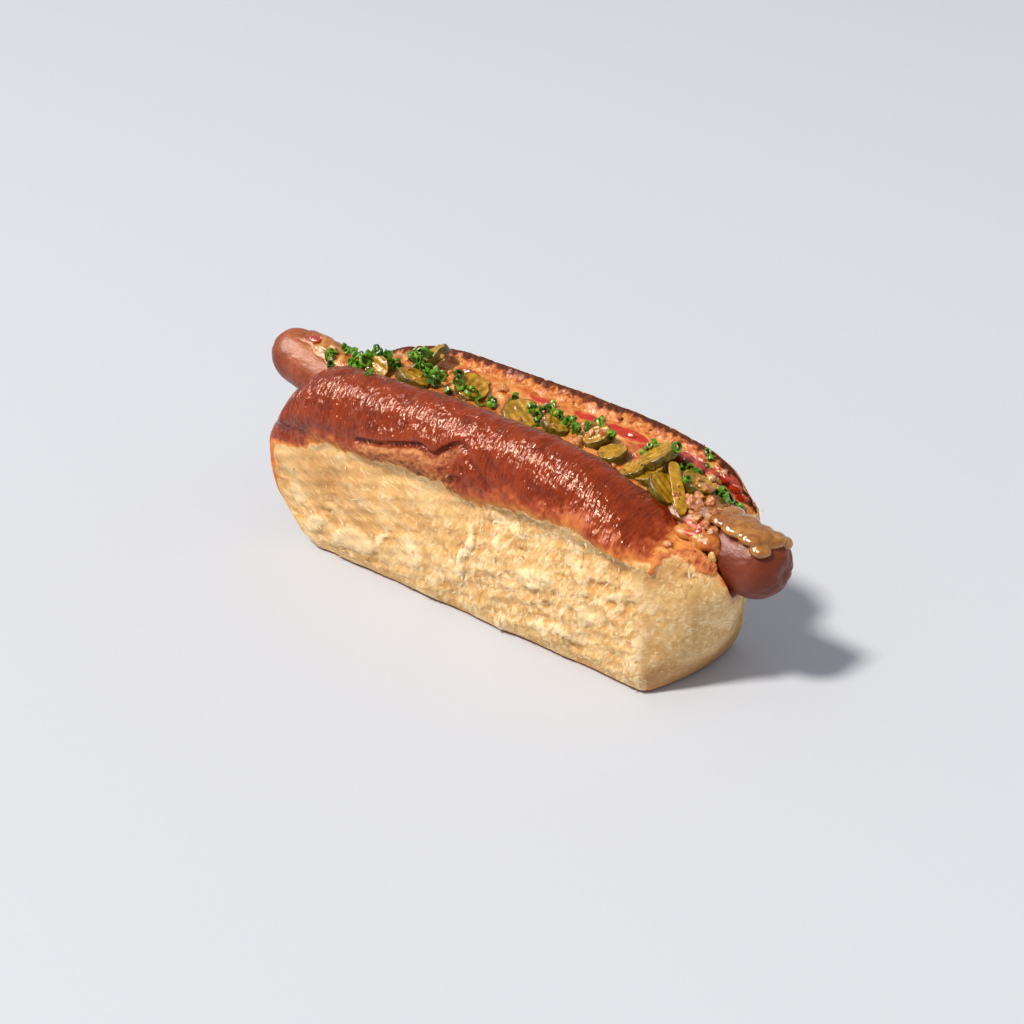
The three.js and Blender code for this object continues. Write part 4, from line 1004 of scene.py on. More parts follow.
# Darker spots, darker towards the right end, and a pale film of dressing at the left.
casing_colour = tinted(casing, casing_colour, [
    (node(casing, "TexNoise", [place_mm, 0.7, 3.0, 0.6]), 0.58, 0.68, 0.5, "63301F"),
    (smoked_here, 0.0, 1.0, 0.65, "5E2212"), (film_here, 0.0, 1.0, 0.5, "B87038")])
casing_grain = node(casing, "TexNoise", [millimetres(casing, (1.6, 1.0, 1.0)), 0.6, 3.0, 0.55])
casing_bump = node(casing, "Bump", {"Strength": 0.6, "Distance": 0.0006, "Height": casing_grain})
fill(shader, {
    "Base Color": casing_colour, "Roughness": 0.42, "Normal": casing_bump, "Specular IOR Level": 0.25,
    "Coat Weight": 0.12, "Coat Roughness": 0.22, "Coat Normal": casing_bump,
    "Subsurface Weight": 0.18, "Subsurface Radius": (1.0, 0.35, 0.2), "Subsurface Scale": 0.002})
sausage.data.materials.append(casing)
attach(sausage, "root")
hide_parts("sausage")

# ------------------------------------------------------------------ dressing
# A loose mayonnaise dressing coloured by chilli and ketchup, spooned along the groove over the
# sausage. It runs up both walls, thins out over the sausage's ends, and has streaks of ketchup in it.

DRESSING_LEFT = -89.0
DRESSING_RIGHT = 79.0
EDGE_DEPTH = 0.8
dressing_depth = along([
    (-89, 0.7), (-82, 1.3), (-66, 2), (-46, 2.8), (0, 3.2), (60, 3.2), (72, 3), (79, 2.6)])
near_edge_turn = along([(-89, 112), (-66, 128), (-56, 125), (62, 125), (70, 130), (79, 140)])
far_edge_turn = along([(-89, 62), (-66, 42), (-56, 30), (66, 30), (79, 28)])
meets_near = lambda x: plateau(x, -68, -56, 60, 66)
meets_far = lambda x: plateau(x, -68, -56, 74, 79)


def wall_at(wall, z, side):
    """Where across the bun a groove wall stands at a height; the dressing laps 0.5 mm into it."""
    for k in range(len(wall) - 1):
        if z <= wall[k + 1][1] or k == len(wall) - 2:
            t = min(1, max(0, (z - wall[k][1]) / (wall[k + 1][1] - wall[k][1] + 1e-9)))
            return lerp(wall[k][0], wall[k + 1][0], t) + side * 0.5


def dressing_rings(stations, top_points, under_points):
    shift_at = stations - end_shift(stations - end_shift(stations, 8.0, 50.0), 8.0, 50.0)
    walls = closed_curve(bun_controls(shift_at), np.arange(10, 20.01, 0.25))
    smears = 1.2 * noise(np.stack([stations / 5, stations * 0 + 3.3, stations * 0], -1), 111)
    rings = []
    for x, inside_x, wall, smear in zip(stations, shift_at, walls, smears):
        near_wall, far_wall = wall[:17][::-1], wall[24:]
        axis, inner = float(sausage_height(x)), float(sausage_radius(x)) - 0.2
        near_turn, far_turn = float(near_edge_turn(x)), float(far_edge_turn(x))

        def on_sausage(degrees, out):
            turn, reach = math.radians(degrees), inner + out
            return np.array([SAUSAGE_Y + reach * math.cos(turn), axis + reach * math.sin(turn)])

        depth = float(dressing_depth(x))
        top = axis + inner + 0.5 + depth
        near_high = min(top + 0.3, float(crown_height(inside_x)) - 6)
        far_high = min(top + 2.2 + smear, float(rim_height(inside_x)) - 3)
        far_low, near_low = on_sausage(far_turn, 0)[1], on_sausage(near_turn, 0)[1]
        ring = []
        for k in range(top_points):
            t = k / (top_points - 1)
            arch = math.sin(math.pi * t)
            out = EDGE_DEPTH + 0.5 + (depth - EDGE_DEPTH) * arch**0.5
            cap = on_sausage(lerp(near_turn, far_turn, t), out)
            y = lerp(wall_at(near_wall, near_high, -1), wall_at(far_wall, far_high, 1), t)
            across = (y - SAUSAGE_Y) / 12
            rise = depth + 1.1 * across**2 + 0.5 * across + 0.45 * lumps(1.3 * x, 1.6 * y)
            z = lerp(lerp(near_high, far_high, t), axis + inner + 0.5 + rise, arch)
            ring.append(lerp(cap, np.array([y, z]), lerp(float(meets_near(x)), float(meets_far(x)), t)))
        for t in (0.4, 0.8):
            z = lerp(far_high, far_low + 0.4, t)
            ring.append(lerp(on_sausage(far_turn, EDGE_DEPTH * (1 - t)),
                             np.array([wall_at(far_wall, z, 1), z]), float(meets_far(x))))
        for k in range(under_points):
            ring.append(on_sausage(lerp(far_turn, near_turn, k / (under_points - 1)), 0))
        ring.append(lerp(on_sausage(near_turn, EDGE_DEPTH * 0.5),
                         np.array([wall_at(near_wall, near_low, -1), near_low]), float(meets_near(x))))
        rings.append([(x, *point) for point in ring])
    return np.array(rings)


TOP_POINTS = 46
dressing_points = dressing_rings(np.linspace(DRESSING_LEFT, DRESSING_RIGHT, 300), TOP_POINTS, 8)
DX, DY = dressing_points[:, :TOP_POINTS, 0], dressing_points[:, :TOP_POINTS, 1]
plane = np.stack([DX, DY, np.zeros_like(DX)], -1)
free_edge = np.sin(np.linspace(0, math.pi, TOP_POINTS))[None, :] ** 0.5
ends = plateau(DX, -89, -84, 77, 79)
ripple = 0.75 * layered(plane / 4.2, 121, 3) + 0.40 * noise(plane / 1.9, 125)
dressing_points[:, :TOP_POINTS, 2] += (ripple + 0.25) * free_edge * ends
wave = 1.5 * noise(np.stack([DX / 5.5, DX * 0 + 7.7, DX * 0], -1), 127)
dressing_points[:, :TOP_POINTS, 1] += wave * (1 - free_edge) * (1 - meets_near(DX)) * ends
ketchup = np.zeros(dressing_points.shape[:2])
ketchup[:, :TOP_POINTS] = tomato_at(DX, DY)
brown = np.zeros(dressing_points.shape[:2])
brown[:, :TOP_POINTS] = 0.85 * ramp(DX + 4 * layered(plane / 6, 129), 50, 66)
brown[:, :TOP_POINTS] += 0.45 * (1 - ramp(DX, -76, -62))
last = (len(dressing_points) - 1) * dressing_points.shape[1]
dressing = facing_out(skin("chilli_dressing", dressing_points, (
    end_cap(0, dressing_points[0, :, 1], True) + end_cap(last, dressing_points[-1, :, 1], False))))
paint(dressing, ketchup=ketchup, brown=brown)

# Chilli mayonnaise: opaque and creamy, wet gloss, with ketchup stirred in here and there.
mayonnaise, shader = finish_named("chilli_mayonnaise")
place_mm = millimetres(mayonnaise)
brown_here, ketchup_here = (
    node(mayonnaise, "Attribute", attribute_name=name).outputs["Fac"] for name in ("brown", "ketchup"))
swirl = node(mayonnaise, "TexNoise", [place_mm, 0.13, 5.0, 0.6, 2.0, 1.2])
pink = with_stops(node(mayonnaise, "ValToRGB", [swirl]), [
    (0.34, "A64A14"), (0.45, "C4702E"), (0.57, "D6934E"), (0.72, "E8BE80")])
browned = with_stops(node(mayonnaise, "ValToRGB", [swirl]), [
    (0.36, "4A2206"), (0.5, "6A3A10"), (0.66, "946022")])
stirred = node(mayonnaise, "TexNoise", [place_mm, 0.4, 4.0, 0.6])
mayonnaise_colour = tinted(
    mayonnaise, node(mayonnaise, "Mix", [brown_here, pink, browned], data_type="RGBA"), [
        (varied(mayonnaise, ketchup_here, (stirred, 0.7)), 0.35, 0.6, 1.0, "B8281A"),
        (node(mayonnaise, "TexNoise", [place_mm, 0.8, 2.0, 0.5]), 0.68, 0.74, 0.7, "8A3A1C")])
mayonnaise_bump = node(mayonnaise, "Bump", {
    "Strength": 0.55, "Distance": 0.0009, "Height": node(mayonnaise, "TexNoise", [place_mm, 0.55, 4.0, 0.6])})
fill(shader, {
    "Base Color": mayonnaise_colour, "Roughness": 0.28, "Normal": mayonnaise_bump,
    "Specular IOR Level": 0.3, "Coat Weight": 0.45, "Coat Roughness": 0.07, "Coat Normal": mayonnaise_bump,
    "Subsurface Weight": 0.25, "Subsurface Radius": (1.0, 0.5, 0.3), "Subsurface Scale": 0.002})
dressing.data.materials.append(mayonnaise)
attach(dressing, "root")
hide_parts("dressing")

# ------------------------------------------------------------------ pickles
# Crinkled slices of small pickled cucumber, 8 to 13 mm across, tucked into the dressing, and one long
# wedge that leans out of it: wet yellow-olive flesh in a thin, darker, bumpy skin.

# x, y, z of each slice's middle, its radius, its thickness, and the bearing and rise of its face.
PICKLE_SLICES = [
    (-53.1, -0.4, 60.3, 4.5, 3.0, -86, 38), (-40.2, 1.6, 59.9, 5.7, 3.0, 47, 65),
    (-42.6, 14.4, 62.9, 5.4, 3.0, -152, 55), (-21.2, 8.3, 60.2, 5.4, 2.8, -25, 58),
    (1.9, 4.8, 59.2, 6.0, 2.8, -27, 64), (13.9, 6.1, 58.8, 4.5, 2.8, 38, 63),
    (28.9, 8.6, 58.9, 4.6, 2.8, -126, 67), (38.3, 3.9, 58.1, 4.6, 2.8, -139, 80),
    (48.2, 0.9, 57.0, 4.0, 2.6, -148, 70), (52.5, 7.6, 60.4, 6.3, 2.8, -156, 61),
    (53.3, 2.6, 57.2, 5.0, 2.8, -145, 64), (60.6, -1.3, 55.9, 5.5, 2.8, 10, 49),
    (66.6, 7.2, 56.2, 5.5, 2.8, 37, 65)]
WEDGE_HEAD = np.array([58.7, 6.0, 61.3])
WEDGE_FOOT = np.array([70.6, -5.3, 53.0])
WEDGE_CORNERS = [(2.2, 0.9), (-2.6, 1.3), (0.3, -3.2)]

gherkin, shader = finish_named("pickled_cucumber")
place_mm = millimetres(gherkin)
flesh = with_stops(node(gherkin, "ValToRGB", [node(gherkin, "TexNoise", [place_mm, 0.32, 4.0, 0.6])]), [
    (0.34, "806206"), (0.5, "A98010"), (0.64, "C49A30")])
rind_colour = with_stops(node(gherkin, "ValToRGB", [node(gherkin, "TexNoise", [place_mm, 0.8, 4.0, 0.7])]), [
    (0.38, "3C3606"), (0.52, "5C4E0A"), (0.66, "7C671A")])
rind_ragged = node(gherkin, "TexNoise", [place_mm, 0.7, 3.0, 0.6])
rind_here = node(gherkin, "Attribute", attribute_name="rind").outputs["Fac"]
rind_level = varied(gherkin, rind_here, (rind_ragged, 0.35))
rind_share = node(gherkin, "MapRange", [rind_level, 0.45, 0.85])
gherkin_bump = node(gherkin, "Bump", {
    "Strength": 0.5, "Distance": 0.0004, "Height": node(gherkin, "TexNoise", [place_mm, 1.0, 4.0, 0.6])})
fill(shader, {
    "Base Color": node(gherkin, "Mix", [rind_share, flesh, rind_colour], data_type="RGBA"),
    "Roughness": 0.32, "Normal": gherkin_bump, "Specular IOR Level": 0.3,
    "Coat Weight": 0.4, "Coat Roughness": 0.08,
    "Subsurface Weight": 0.45, "Subsurface Radius": (1.0, 0.9, 0.3), "Subsurface Scale": 0.002})


def turned(points, middle, direction, turn=0.0):
    """Stands a shape's own Z axis along a direction, at a place."""
    way = Vector(direction).to_track_quat("Z", "Y").to_matrix() @ Matrix.Rotation(turn, 3, "Z")
    return points @ np.array(way).T + np.asarray(middle)


def pickle(name, rings, rind, replaced):
    made = facing_out(skin(name, rings, flat_caps(rings)))
    paint(made, rind=rind)
    made.data.materials.append(gherkin)
    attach(made, "root")
    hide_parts(replaced)
    return made


pickles = []
SLICE_SIDES = 56
SLICE_BEVEL = 0.55
for number, (x, y, z, radius, thickness, bearing, rise) in enumerate(PICKLE_SLICES, 1):
    half = thickness / 2
    flat_radius = radius - SLICE_BEVEL
    profile = [(share * flat_radius, half) for share in np.linspace(0.04, 1, 12)]
    profile += [(flat_radius + SLICE_BEVEL * math.sin(a), half - SLICE_BEVEL + SLICE_BEVEL * math.cos(a))
                for a in (0.45, 0.9, 1.35)]
    profile += [(r, -h) for r, h in profile[::-1]]
    profile = np.array(profile)
    angle = np.arange(SLICE_SIDES) * 2 * math.pi / SLICE_SIDES
    R, A = np.meshgrid(profile[:, 0], angle, indexing="ij")
    H = profile[:, 1][:, None] * np.ones_like(A)
    key_point = np.stack([np.cos(A) * 1.6, np.sin(A) * 1.6, A * 0 + number * 3.1], -1)
    outer = (R / radius) ** 2
    R = R * (1 + outer * (0.05 * noise(key_point, 131) + 0.03 * noise(key_point * 3, 132)))
    flat_place = np.stack([R * np.cos(A), R * np.sin(A), A * 0 + number * 7.3], -1)
    seeds = bump(R / radius, 0.5, 0.2) * ramp(noise(flat_place / 0.9, 133), 0.15, 0.6)
    ripple = 0.16 * np.cos(2 * math.pi * R * np.cos(A) / 2.4) + 0.12 * noise(flat_place / 2, 134)
    dish = -0.35 * (1 - ramp(R / radius, 0.45, 0.95))
    H = H + np.sign(H) * (ripple + dish + 0.28 * seeds) * (np.abs(H) > half - SLICE_BEVEL - 0.01)
    bend = 0.035 * (R * np.cos(A)) ** 2 / 2
    shape = np.stack([R * np.cos(A), R * np.sin(A), H + bend], -1)
    up, turn = math.radians(rise), math.radians(bearing)
    facing = (math.cos(turn), math.sin(turn), math.tan(up))
    rings = turned(shape, (x, y, z), facing, number * 1.3)
    rind = ramp(np.minimum(R / radius, 1.02), 0.86, 0.98)
    pickles.append(pickle(f"pickle_slice_{number}", rings, rind, f"pickle_{number}"))

# The wedge: a rounded triangle in section, flesh on two faces and skin on the third.
wedge_length = float(np.linalg.norm(WEDGE_HEAD - WEDGE_FOOT))
wedge_steps, wedge_sides = 44, 48
corner_shares = np.arange(wedge_sides) / wedge_sides * 3
which, share = np.floor(corner_shares).astype(int), corner_shares % 1
triangle = np.array(WEDGE_CORNERS)
outline = lerp(triangle[which], triangle[(which + 1) % 3], share[:, None])
outline *= (1 - 0.16 * np.abs(2 * share - 1) ** 6)[:, None]
steps_along = np.linspace(-0.5, 0.5, wedge_steps)
taper = (1 - np.abs(2 * steps_along) ** 8 * 0.55) * (1 + 0.12 * -steps_along)
shape = np.stack([outline[None, :, 0] * taper[:, None], outline[None, :, 1] * taper[:, None],
                  (steps_along * wedge_length)[:, None] * np.ones(wedge_sides)], -1)
shape[..., :2] *= 1 + 0.08 * layered(shape / 2.2, 141)[..., None]
rind = (which == 1) * np.ones((wedge_steps, 1)) * 0.9
wedge_rings = turned(shape, (WEDGE_HEAD + WEDGE_FOOT) / 2, WEDGE_HEAD - WEDGE_FOOT, 2.2)
pickles.append(pickle("pickle_wedge", wedge_rings, rind, "pickle_14"))

# ------------------------------------------------------------------ onion relish
# Onion cooked soft in its own sugar, in one wet translucent spoonful over the sausage's right end.
# Its pieces have run together, and a last bead of it hangs at the tip.

RELISH_LUMPS = [
    (81.5, 2.0, 53.2, 4.5, 6.2, 2.0), (87.0, 0.3, 53.0, 5.8, 6.2, 2.3), (92.6, -0.2, 52.2, 5.0, 6.0, 2.2),
    (96.4, 2.6, 50.6, 3.6, 4.4, 2.2), (96.2, -3.2, 49.8, 3.4, 3.2, 2.0), (98.7, 5.9, 49.0, 2.1, 2.1, 2.0)]


def melted(name, lumps_here, voxel_mm, strength=0.35, seed=0):
    """Ellipsoids run together into one smooth, slightly uneven skin."""
    ball = bpy.data.meshes.new("ball")
    work = bmesh.new()
    for x, y, z, *half_widths in lumps_here:
        middle = Matrix.Translation((Vector((x, y, z)) - Vector(CENTRE)) * MM)
        stretch = Matrix.Diagonal([half * MM for half in half_widths] + [1])
        bmesh.ops.create_icosphere(work, subdivisions=4, radius=1.0, matrix=middle @ stretch)
    work.to_mesh(ball)
    work.free()
    made = placed(name, ball)
    remesh = made.modifiers.new("run_together", "REMESH")
    remesh.mode = "VOXEL"
    remesh.voxel_size = voxel_mm * MM
    smooth = made.modifiers.new("soften", "SMOOTH")
    smooth.iterations = 6
    mesh = bpy.data.meshes.new_from_object(made.evaluated_get(bpy.context.evaluated_depsgraph_get()))
    made.modifiers.clear()
    made.data = mesh
    places = points_of(mesh)
    normals = np.array([v.normal[:] for v in mesh.vertices])
    places += normals * (strength * MM * layered(places / MM / 2.6, 151 + seed)[:, None])
    mesh.vertices.foreach_set("co", places.ravel())
    mesh.update()
    return facing_out(made)


relish = melted("spoonful_of_relish", RELISH_LUMPS, 0.35, 0.16)
# Soft cooked onion: golden brown and wet, and the light comes through it.
cooked_onion, shader = finish_named("soft_cooked_onion")
place_mm = millimetres(cooked_onion)
onion_noise = node(cooked_onion, "TexNoise", [place_mm, 0.22, 4.0, 0.6, 2.0, 0.8])
onion_colour = with_stops(node(cooked_onion, "ValToRGB", [onion_noise]), [
    (0.30, "85490F"), (0.5, "9F671F"), (0.70, "B58238")])
onion_lumps = node(cooked_onion, "TexNoise", [place_mm, 0.35, 3.0, 0.5])
onion_bump = node(cooked_onion, "Bump", {"Strength": 0.35, "Distance": 0.0006, "Height": onion_lumps})
fill(shader, {
    "Base Color": onion_colour, "Roughness": 0.22, "Normal": onion_bump,
    "Coat Weight": 1.0, "Coat Roughness": 0.05,
    "Subsurface Weight": 0.6, "Subsurface Radius": (1.0, 0.6, 0.25), "Subsurface Scale": 0.003})
relish.data.materials.append(cooked_onion)
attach(relish, "root")
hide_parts("onion_relish")

# The dressing also runs down between the sausage and the bun's right end, in a thick wet tongue.
DRESSING_RUN = [
    (73.4, -7.2, 49.4, 3.6, 3.0, 1.9), (77.0, -5.6, 49.2, 4.6, 3.8, 2.3), (80.6, -6.6, 48.4, 4.2, 3.2, 2.6),
    (83.2, -7.0, 46.4, 2.0, 1.5, 2.0), (78.6, -8.0, 47.4, 3.2, 1.5, 1.4)]
run = melted("dressing_run", DRESSING_RUN, 0.3, 0.40, 3)
paint(run, ketchup=np.full(len(run.data.vertices), 0.2), brown=np.full(len(run.data.vertices), 0.2))
run.data.materials.append(mayonnaise)
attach(run, "root")

# ------------------------------------------------------------------ tomato and onion
# Chopped ripe tomato, wet and red, caught between the dressing and the toasted face, and slivers and
# beads of onion, cooked until the light comes through. Most are half sunk in the dressing.

# x, y, z of each piece's middle and its three half widths.
TOMATO_PIECES = [
    (55.5, 15.2, 58.4, 4.2, 2.6, 1.7), (60.0, 15.4, 57.3, 3.4, 2.6, 1.6), (63.8, 17.6, 55.0, 2.8, 2.4, 1.5),
    (66.4, 20.0, 53.4, 3.4, 1.3, 1.8), (70.0, 20.8, 51.2, 3.2, 1.2, 1.8), (73.0, 21.2, 48.8, 2.4, 1.0, 1.6),
    (75.6, -8.2, 50.2, 2.4, 1.3, 0.9), (77.9, -6.9, 50.9, 1.3, 0.9, 0.7), (-31.6, 18.2, 59.4, 3.0, 1.5, 1.4),
    (-83.2, 0.8, 62.2, 2.3, 2.0, 0.9), (44.0, 15.0, 58.6, 2.4, 1.4, 1.2), (35.5, 16.4, 58.8, 1.9, 1.2, 1.1)]
ONION_PIECES = [
    (-80.6, -1.8, 60.2, 2.6, 0.7, 0.6), (-77.4, -1.2, 61.3, 2.2, 0.7, 0.6), (-74.6, 0.2, 62.0, 1.8, 0.8, 0.6),
    (66.7, 14.2, 55.8, 1.7, 1.4, 1.1), (70.3, 11.7, 54.9, 1.5, 1.3, 1.0), (64.6, 20.6, 54.4, 1.4, 1.0, 1.0),
    (84.2, -9.0, 45.2, 1.3, 0.8, 2.4), (68.8, 5.4, 57.6, 1.3, 1.0, 0.7), (79.6, -8.0, 50.2, 1.2, 1.0, 0.9)]

# Ripe tomato and translucent onion: both wet, and lit from within, the onion more than the tomato.
for name, pieces, seed, finish_name, stops, clearness, slot in (
        ("tomato_pieces", TOMATO_PIECES, 5, "chopped_ripe_tomato",
         [(0.36, "861806"), (0.5, "A62A10"), (0.66, "BE5226")], 0.45, "dressing"),
        ("onion_pieces", ONION_PIECES, 9, "translucent_onion",
         [(0.36, "A87A3A"), (0.5, "C79E5C"), (0.66, "DDBF86")], 0.6, "onion_relish")):
    material, shader = finish_named(finish_name)
    place_mm = millimetres(material)
    wet_bump = node(material, "Bump", {
        "Strength": 0.4, "Distance": 0.0006, "Height": node(material, "TexNoise", [place_mm, 0.6, 4.0, 0.6])})
    mottle = node(material, "TexNoise", [place_mm, 0.35, 4.0, 0.6])
    fill(shader, {
        "Base Color": with_stops(node(material, "ValToRGB", [mottle]), stops), "Roughness": 0.25,
        "Normal": wet_bump, "Coat Weight": 1.0, "Coat Roughness": 0.05,
        "Subsurface Weight": clearness, "Subsurface Radius": (1.0, 0.4, 0.2), "Subsurface Scale": 0.002})
    made = melted(name, pieces, 0.28, 0.42, seed)
    made.data.materials.append(material)
    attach(made, "root")

# ------------------------------------------------------------------ chives
# Fresh chives snipped into thin-walled rings and curls, mostly 2 to 4 mm across and 1 to 2 mm long, strewn
# in small heaps down the middle. They lie on the dressing, on pickles and on each other.

# Where the heaps lie: x, y, how far they spread, how many rings, and how many lie on each other.
CHIVE_HEAPS = [
    (-72.5, -3.9, 1.6, 8, 1), (-69.0, 2.6, 2.0, 9, 1), (-61.5, -1.3, 2.4, 23, 2), (-58.5, 2.2, 2.4, 21, 2),
    (-54.9, 3.7, 1.8, 12, 2), (-53.0, 18.4, 1.8, 8, 1), (-51.0, 4.9, 1.8, 12, 1), (-45.9, 9.2, 1.8, 12, 2),
    (-44.6, -13.5, 0.2, 1, 1), (-41.9, 8.7, 2.0, 14, 2), (-37.9, 7.7, 2.0, 16, 2),
    (-33.9, 5.4, 1.8, 14, 2), (-26.5, 3.4, 1.2, 7, 1), (-22.5, 3.8, 1.3, 9, 1), (-18.3, 4.8, 1.3, 9, 1),
    (-14.8, 5.6, 1.2, 6, 1), (-11.4, 6.7, 1.4, 8, 1), (-6.1, 11.9, 1.3, 5, 1), (6.0, 6.6, 1.8, 10, 1),
    (6.0, 12.9, 1.6, 9, 1), (12.5, 11.7, 1.8, 12, 1), (17.2, 9.9, 1.8, 9, 1), (21.5, 10.9, 1.6, 9, 1),
    (22.4, 18.5, 0.3, 1, 1), (24.0, 12.9, 1.6, 8, 1), (33.5, 9.9, 0.9, 2, 1), (46.5, 9.9, 1.4, 9, 1),
    (47.0, 14.4, 1.2, 8, 1), (59.5, 10.9, 1.2, 8, 1), (60.0, 21.4, 0.9, 4, 1), (61.5, 11.9, 1.0, 5, 1),
    (62.0, 19.9, 0.9, 4, 1), (67.0, 2.0, 0.9, 4, 1), (71.0, 14.4, 1.3, 9, 1), (75.6, 13.2, 2.0, 17, 2),
    (77.5, -7.3, 0.8, 2, 1), (78.5, 13.4, 1.6, 14, 1)]
CHIVE_CEILING = 67.6
CHIVE_FLOOR = 45.0
CHIVE_TRIES = 16
LOOKS_DOWN_FROM = 0.12  # in metres, above everything


def snipped_ring(name, radius, length, wall_thickness, round_share, crush):
    """One ring or curl of leaf: a short thin-walled tube, crushed a little out of round."""
    sides = 14
    steps = sides if round_share == 1 else sides + 1
    corners, faces = [], []
    for k in range(steps):
        a = 2 * math.pi * round_share * k / sides
        out = radius * (1 + crush * math.cos(2 * a) + 0.06 * math.cos(3 * a + 1))
        slant_cut = 0.22 * length * math.cos(a + radius)
        for r, z in ((out, -0.5), (out, 0.5), (out - wall_thickness, 0.5), (out - wall_thickness, -0.5)):
            rise = z * length + slant_cut * (z + 0.5)
            corners.append((r * math.cos(a) * MM, r * math.sin(a) * MM, rise * MM))
    for k in range(steps if round_share == 1 else steps - 1):
        ahead = (k + 1) % steps
        faces += [(4 * k + j, 4 * ahead + j, 4 * ahead + (j + 1) % 4, 4 * k + (j + 1) % 4) for j in range(4)]
    if round_share < 1:
        faces += [(0, 1, 2, 3), tuple(4 * (steps - 1) + j for j in (3, 2, 1, 0))]
    return facing_out(meshed(name, corners, faces))


def top_finder(pieces):
    """A function giving the height of the topmost skin under a place, in millimetres."""
    trees = [BVHTree.FromPolygons([v.co for v in mesh.vertices], [p.vertices for p in mesh.polygons])
             for mesh in (piece.data for piece in pieces)]

    def top(x, y):
        start = Vector(((x - CENTRE[0]) * MM, (y - CENTRE[1]) * MM, LOOKS_DOWN_FROM))
        hits = [tree.ray_cast(start, Vector((0, 0, -1)))[0] for tree in trees]
        return max((hit.z for hit in hits if hit), default=0) / MM

    return top


surface = top_finder([bun, sausage, dressing, relish] + pickles)
draw = random.Random(23)
chive_sites = []
for x, y, spread, count, layers in CHIVE_HEAPS:
    for k in range(count):
        place = None
        for _ in range(CHIVE_TRIES):
            at_x, at_y = x + draw.gauss(0, 0.6) * spread, y + draw.gauss(0, 0.6) * spread
            size = draw.uniform(0.68, 1.12)
            ground = surface(at_x, at_y)
            rest = ground + 0.75 * size
            for (bx, by, bz), other in chive_sites:
                reach = 1.35 * (size + other)
                apart = math.hypot(at_x - bx, at_y - by)
                if apart < reach:
                    rest = max(rest, bz + 0.72 * math.sqrt(reach**2 - apart**2))
            if ground > CHIVE_FLOOR and rest < min(ground + 1.9 * layers, CHIVE_CEILING - size):
                place = (at_x, at_y, rest)
                break
        if place:
            chive_sites.append((place, size))

# Chive leaf: waxy and thin, deep green outside and light where the light comes through.
chive_leaf, shader = finish_named("fresh_chive")
chive_noise = node(chive_leaf, "TexNoise", [millimetres(chive_leaf), 0.30, 3.0, 0.6])
chive_colour = with_stops(node(chive_leaf, "ValToRGB", [chive_noise]), [
    (0.34, "264804"), (0.47, "3E7009"), (0.58, "5C9714"), (0.70, "98C844")])
fill(shader, {
    "Base Color": chive_colour, "Roughness": 0.36, "Specular IOR Level": 0.3,
    "Coat Weight": 0.25, "Coat Roughness": 0.12,
    "Subsurface Weight": 0.3, "Subsurface Radius": (0.4, 1.0, 0.1), "Subsurface Scale": 0.001})
chive_turns = [(draw.uniform(-1.4, 1.4), draw.uniform(-1.4, 1.4), draw.uniform(0, 6.3)) for _ in chive_sites]
chive_sizes = [(size * draw.uniform(0.8, 1.15), size, size * draw.uniform(0.7, 1.2))
               for _, size in chive_sites]
chives = strewn(
    "chive_rings", [place for place, _ in chive_sites], chive_turns, chive_sizes,
    [draw.randrange(5) for _ in chive_sites], [
        snipped_ring("ring_a", 1.5, 1.4, 0.50, 1, 0.10), snipped_ring("ring_b", 1.3, 1.7, 0.50, 1, 0.20),
        snipped_ring("ring_c", 1.85, 1.1, 0.48, 1, 0.14), snipped_ring("ring_d", 1.5, 1.5, 0.50, 0.72, 0.12),
        snipped_ring("ring_e", 1.05, 1.9, 0.46, 1, 0.12)], chive_leaf)
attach(chives, "root")

# ------------------------------------------------------------------ crisp crumbs
# Fried bread and onion crumbs, 1 to 4 mm, golden and craggy, glazed by the dressing that holds them.
# The large ones lie mostly over the right end.

# The largest ones: x, y and size.
CRUMBS = [
    (30.9, 9.0, 1.0), (70.9, -1.5, 1.15), (75.6, -4.1, 1.0), (78.8, -5.0, 0.9), (81.0, -4.3, 1.0),
    (70.7, 2.1, 1.05), (74.9, 2.1, 0.95), (79.0, -0.7, 0.7), (66.6, 21.0, 0.9), (66.0, 17.5, 0.8),
    (72.9, -14.8, 0.85), (24.0, 5.5, 1.2), (-31.0, 13.0, 0.7), (-14.0, 14.5, 0.8), (26.5, 8.0, 0.8),
    (71.5, 6.0, 1.0), (68.6, -0.5, 0.8), (73.0, -1.0, 0.9)]
SMALL_CRUMBS = 76


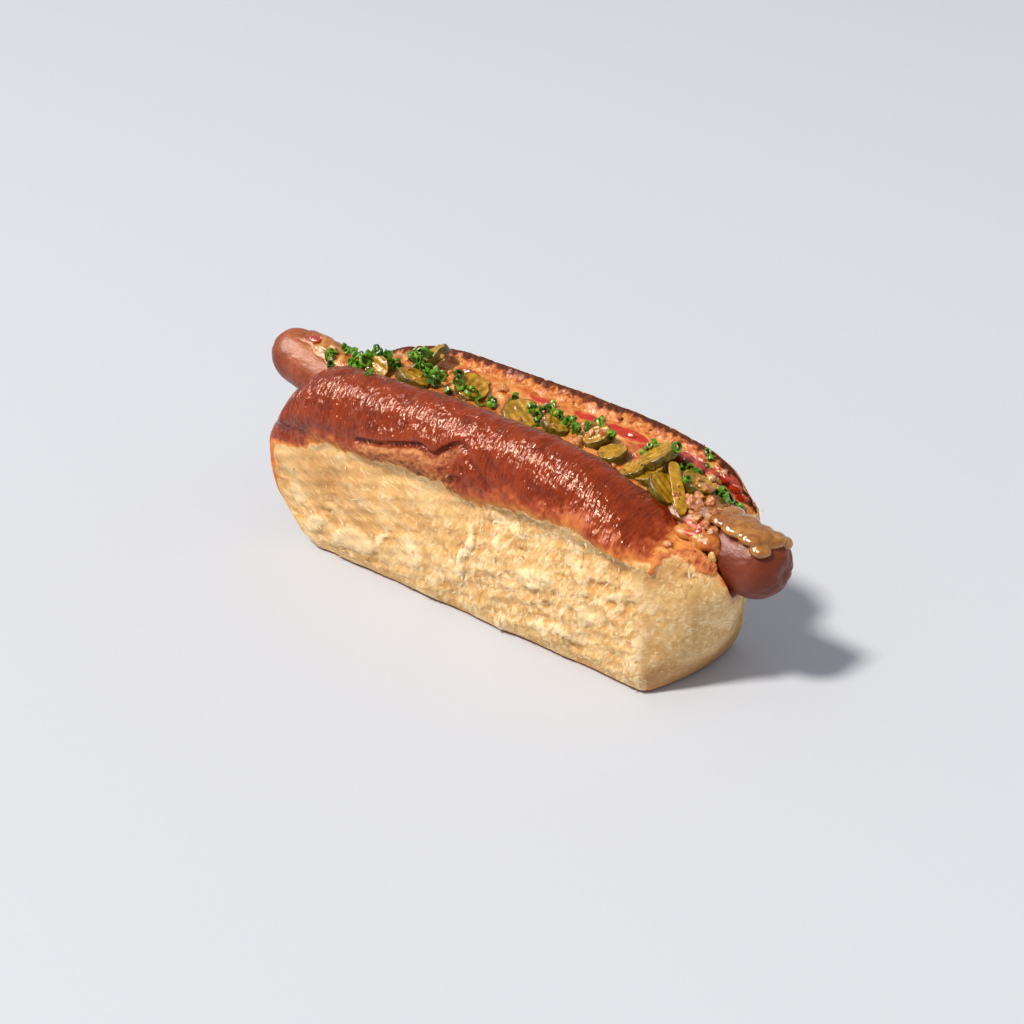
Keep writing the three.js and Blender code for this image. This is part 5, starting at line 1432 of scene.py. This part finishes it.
def crag(name, seed, radius):
    """One crumb: a lump with broken, nearly flat sides and a rough skin."""
    work = bmesh.new()
    bmesh.ops.create_icosphere(work, subdivisions=3, radius=1.0)
    breaks = random.Random(seed)
    for _ in range(13):
        side = Vector((breaks.gauss(0, 1), breaks.gauss(0, 1), breaks.gauss(0, 1))).normalized()
        depth = breaks.uniform(0.40, 0.80)
        for vertex in work.verts:
            over = vertex.co.dot(side) - depth
            if over > 0:
                vertex.co -= side * over * 0.92
    mesh = bpy.data.meshes.new(name)
    work.to_mesh(mesh)
    work.free()
    places = points_of(mesh)
    places *= radius * MM * (1.1 + 0.30 * layered(places * 2.4 + seed, 161 + seed, 3))[:, None]
    mesh.vertices.foreach_set("co", places.ravel())
    return facing_out(placed(name, mesh))


crumb_places = [(x, y, surface(x, y) + 0.45 * size) for x, y, size in CRUMBS]
crumb_sizes = [size for _, _, size in CRUMBS]
for k in range(SMALL_CRUMBS):
    x, y = draw.uniform(-66, 80), draw.uniform(-2, 15)
    if k % 3 == 0:
        x, y = draw.uniform(64, 80), draw.uniform(-4, 15)
    size = draw.uniform(0.22, 0.55)
    ground = surface(x, y)
    if ground > 48:
        crumb_places.append((x, y, ground + 0.2 * size))
        crumb_sizes.append(size)
crumb_turns = [tuple(draw.uniform(0, 6.3) for _ in range(3)) for _ in crumb_places]
crumb_scales = [(size * draw.uniform(0.8, 1.25), size * draw.uniform(0.75, 1.1), size)
                for size in crumb_sizes]

# Fried crumb: golden brown, rough, with a thin wet glaze over it.
fried_crumb, shader = finish_named("fried_crumb")
place_mm = millimetres(fried_crumb)
fried_noise = node(fried_crumb, "TexNoise", [place_mm, 0.4, 4.0, 0.65])
fried_colour = with_stops(node(fried_crumb, "ValToRGB", [fried_noise]), [
    (0.34, "843E12"), (0.48, "B0662A"), (0.62, "D4924C")])
crumb_grit = node(fried_crumb, "Bump", {
    "Strength": 0.7, "Distance": 0.0005, "Height": node(fried_crumb, "TexNoise", [place_mm, 1.6, 4.0, 0.6])})
fill(shader, {
    "Base Color": fried_colour, "Roughness": 0.5, "Normal": crumb_grit,
    "Coat Weight": 0.8, "Coat Roughness": 0.12, "Coat Normal": crumb_grit,
    "Subsurface Weight": 0.15, "Subsurface Radius": (1.0, 0.6, 0.3), "Subsurface Scale": 0.001})
crags = [crag("crag_a", 1, 2.1), crag("crag_b", 2, 2.1), crag("crag_c", 3, 2.0), crag("crag_d", 4, 2.2)]
crumbs = strewn("crisp_crumbs", crumb_places, crumb_turns, crumb_scales,
                [draw.randrange(len(crags)) for _ in crumb_places], crags, fried_crumb)
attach(crumbs, "root")
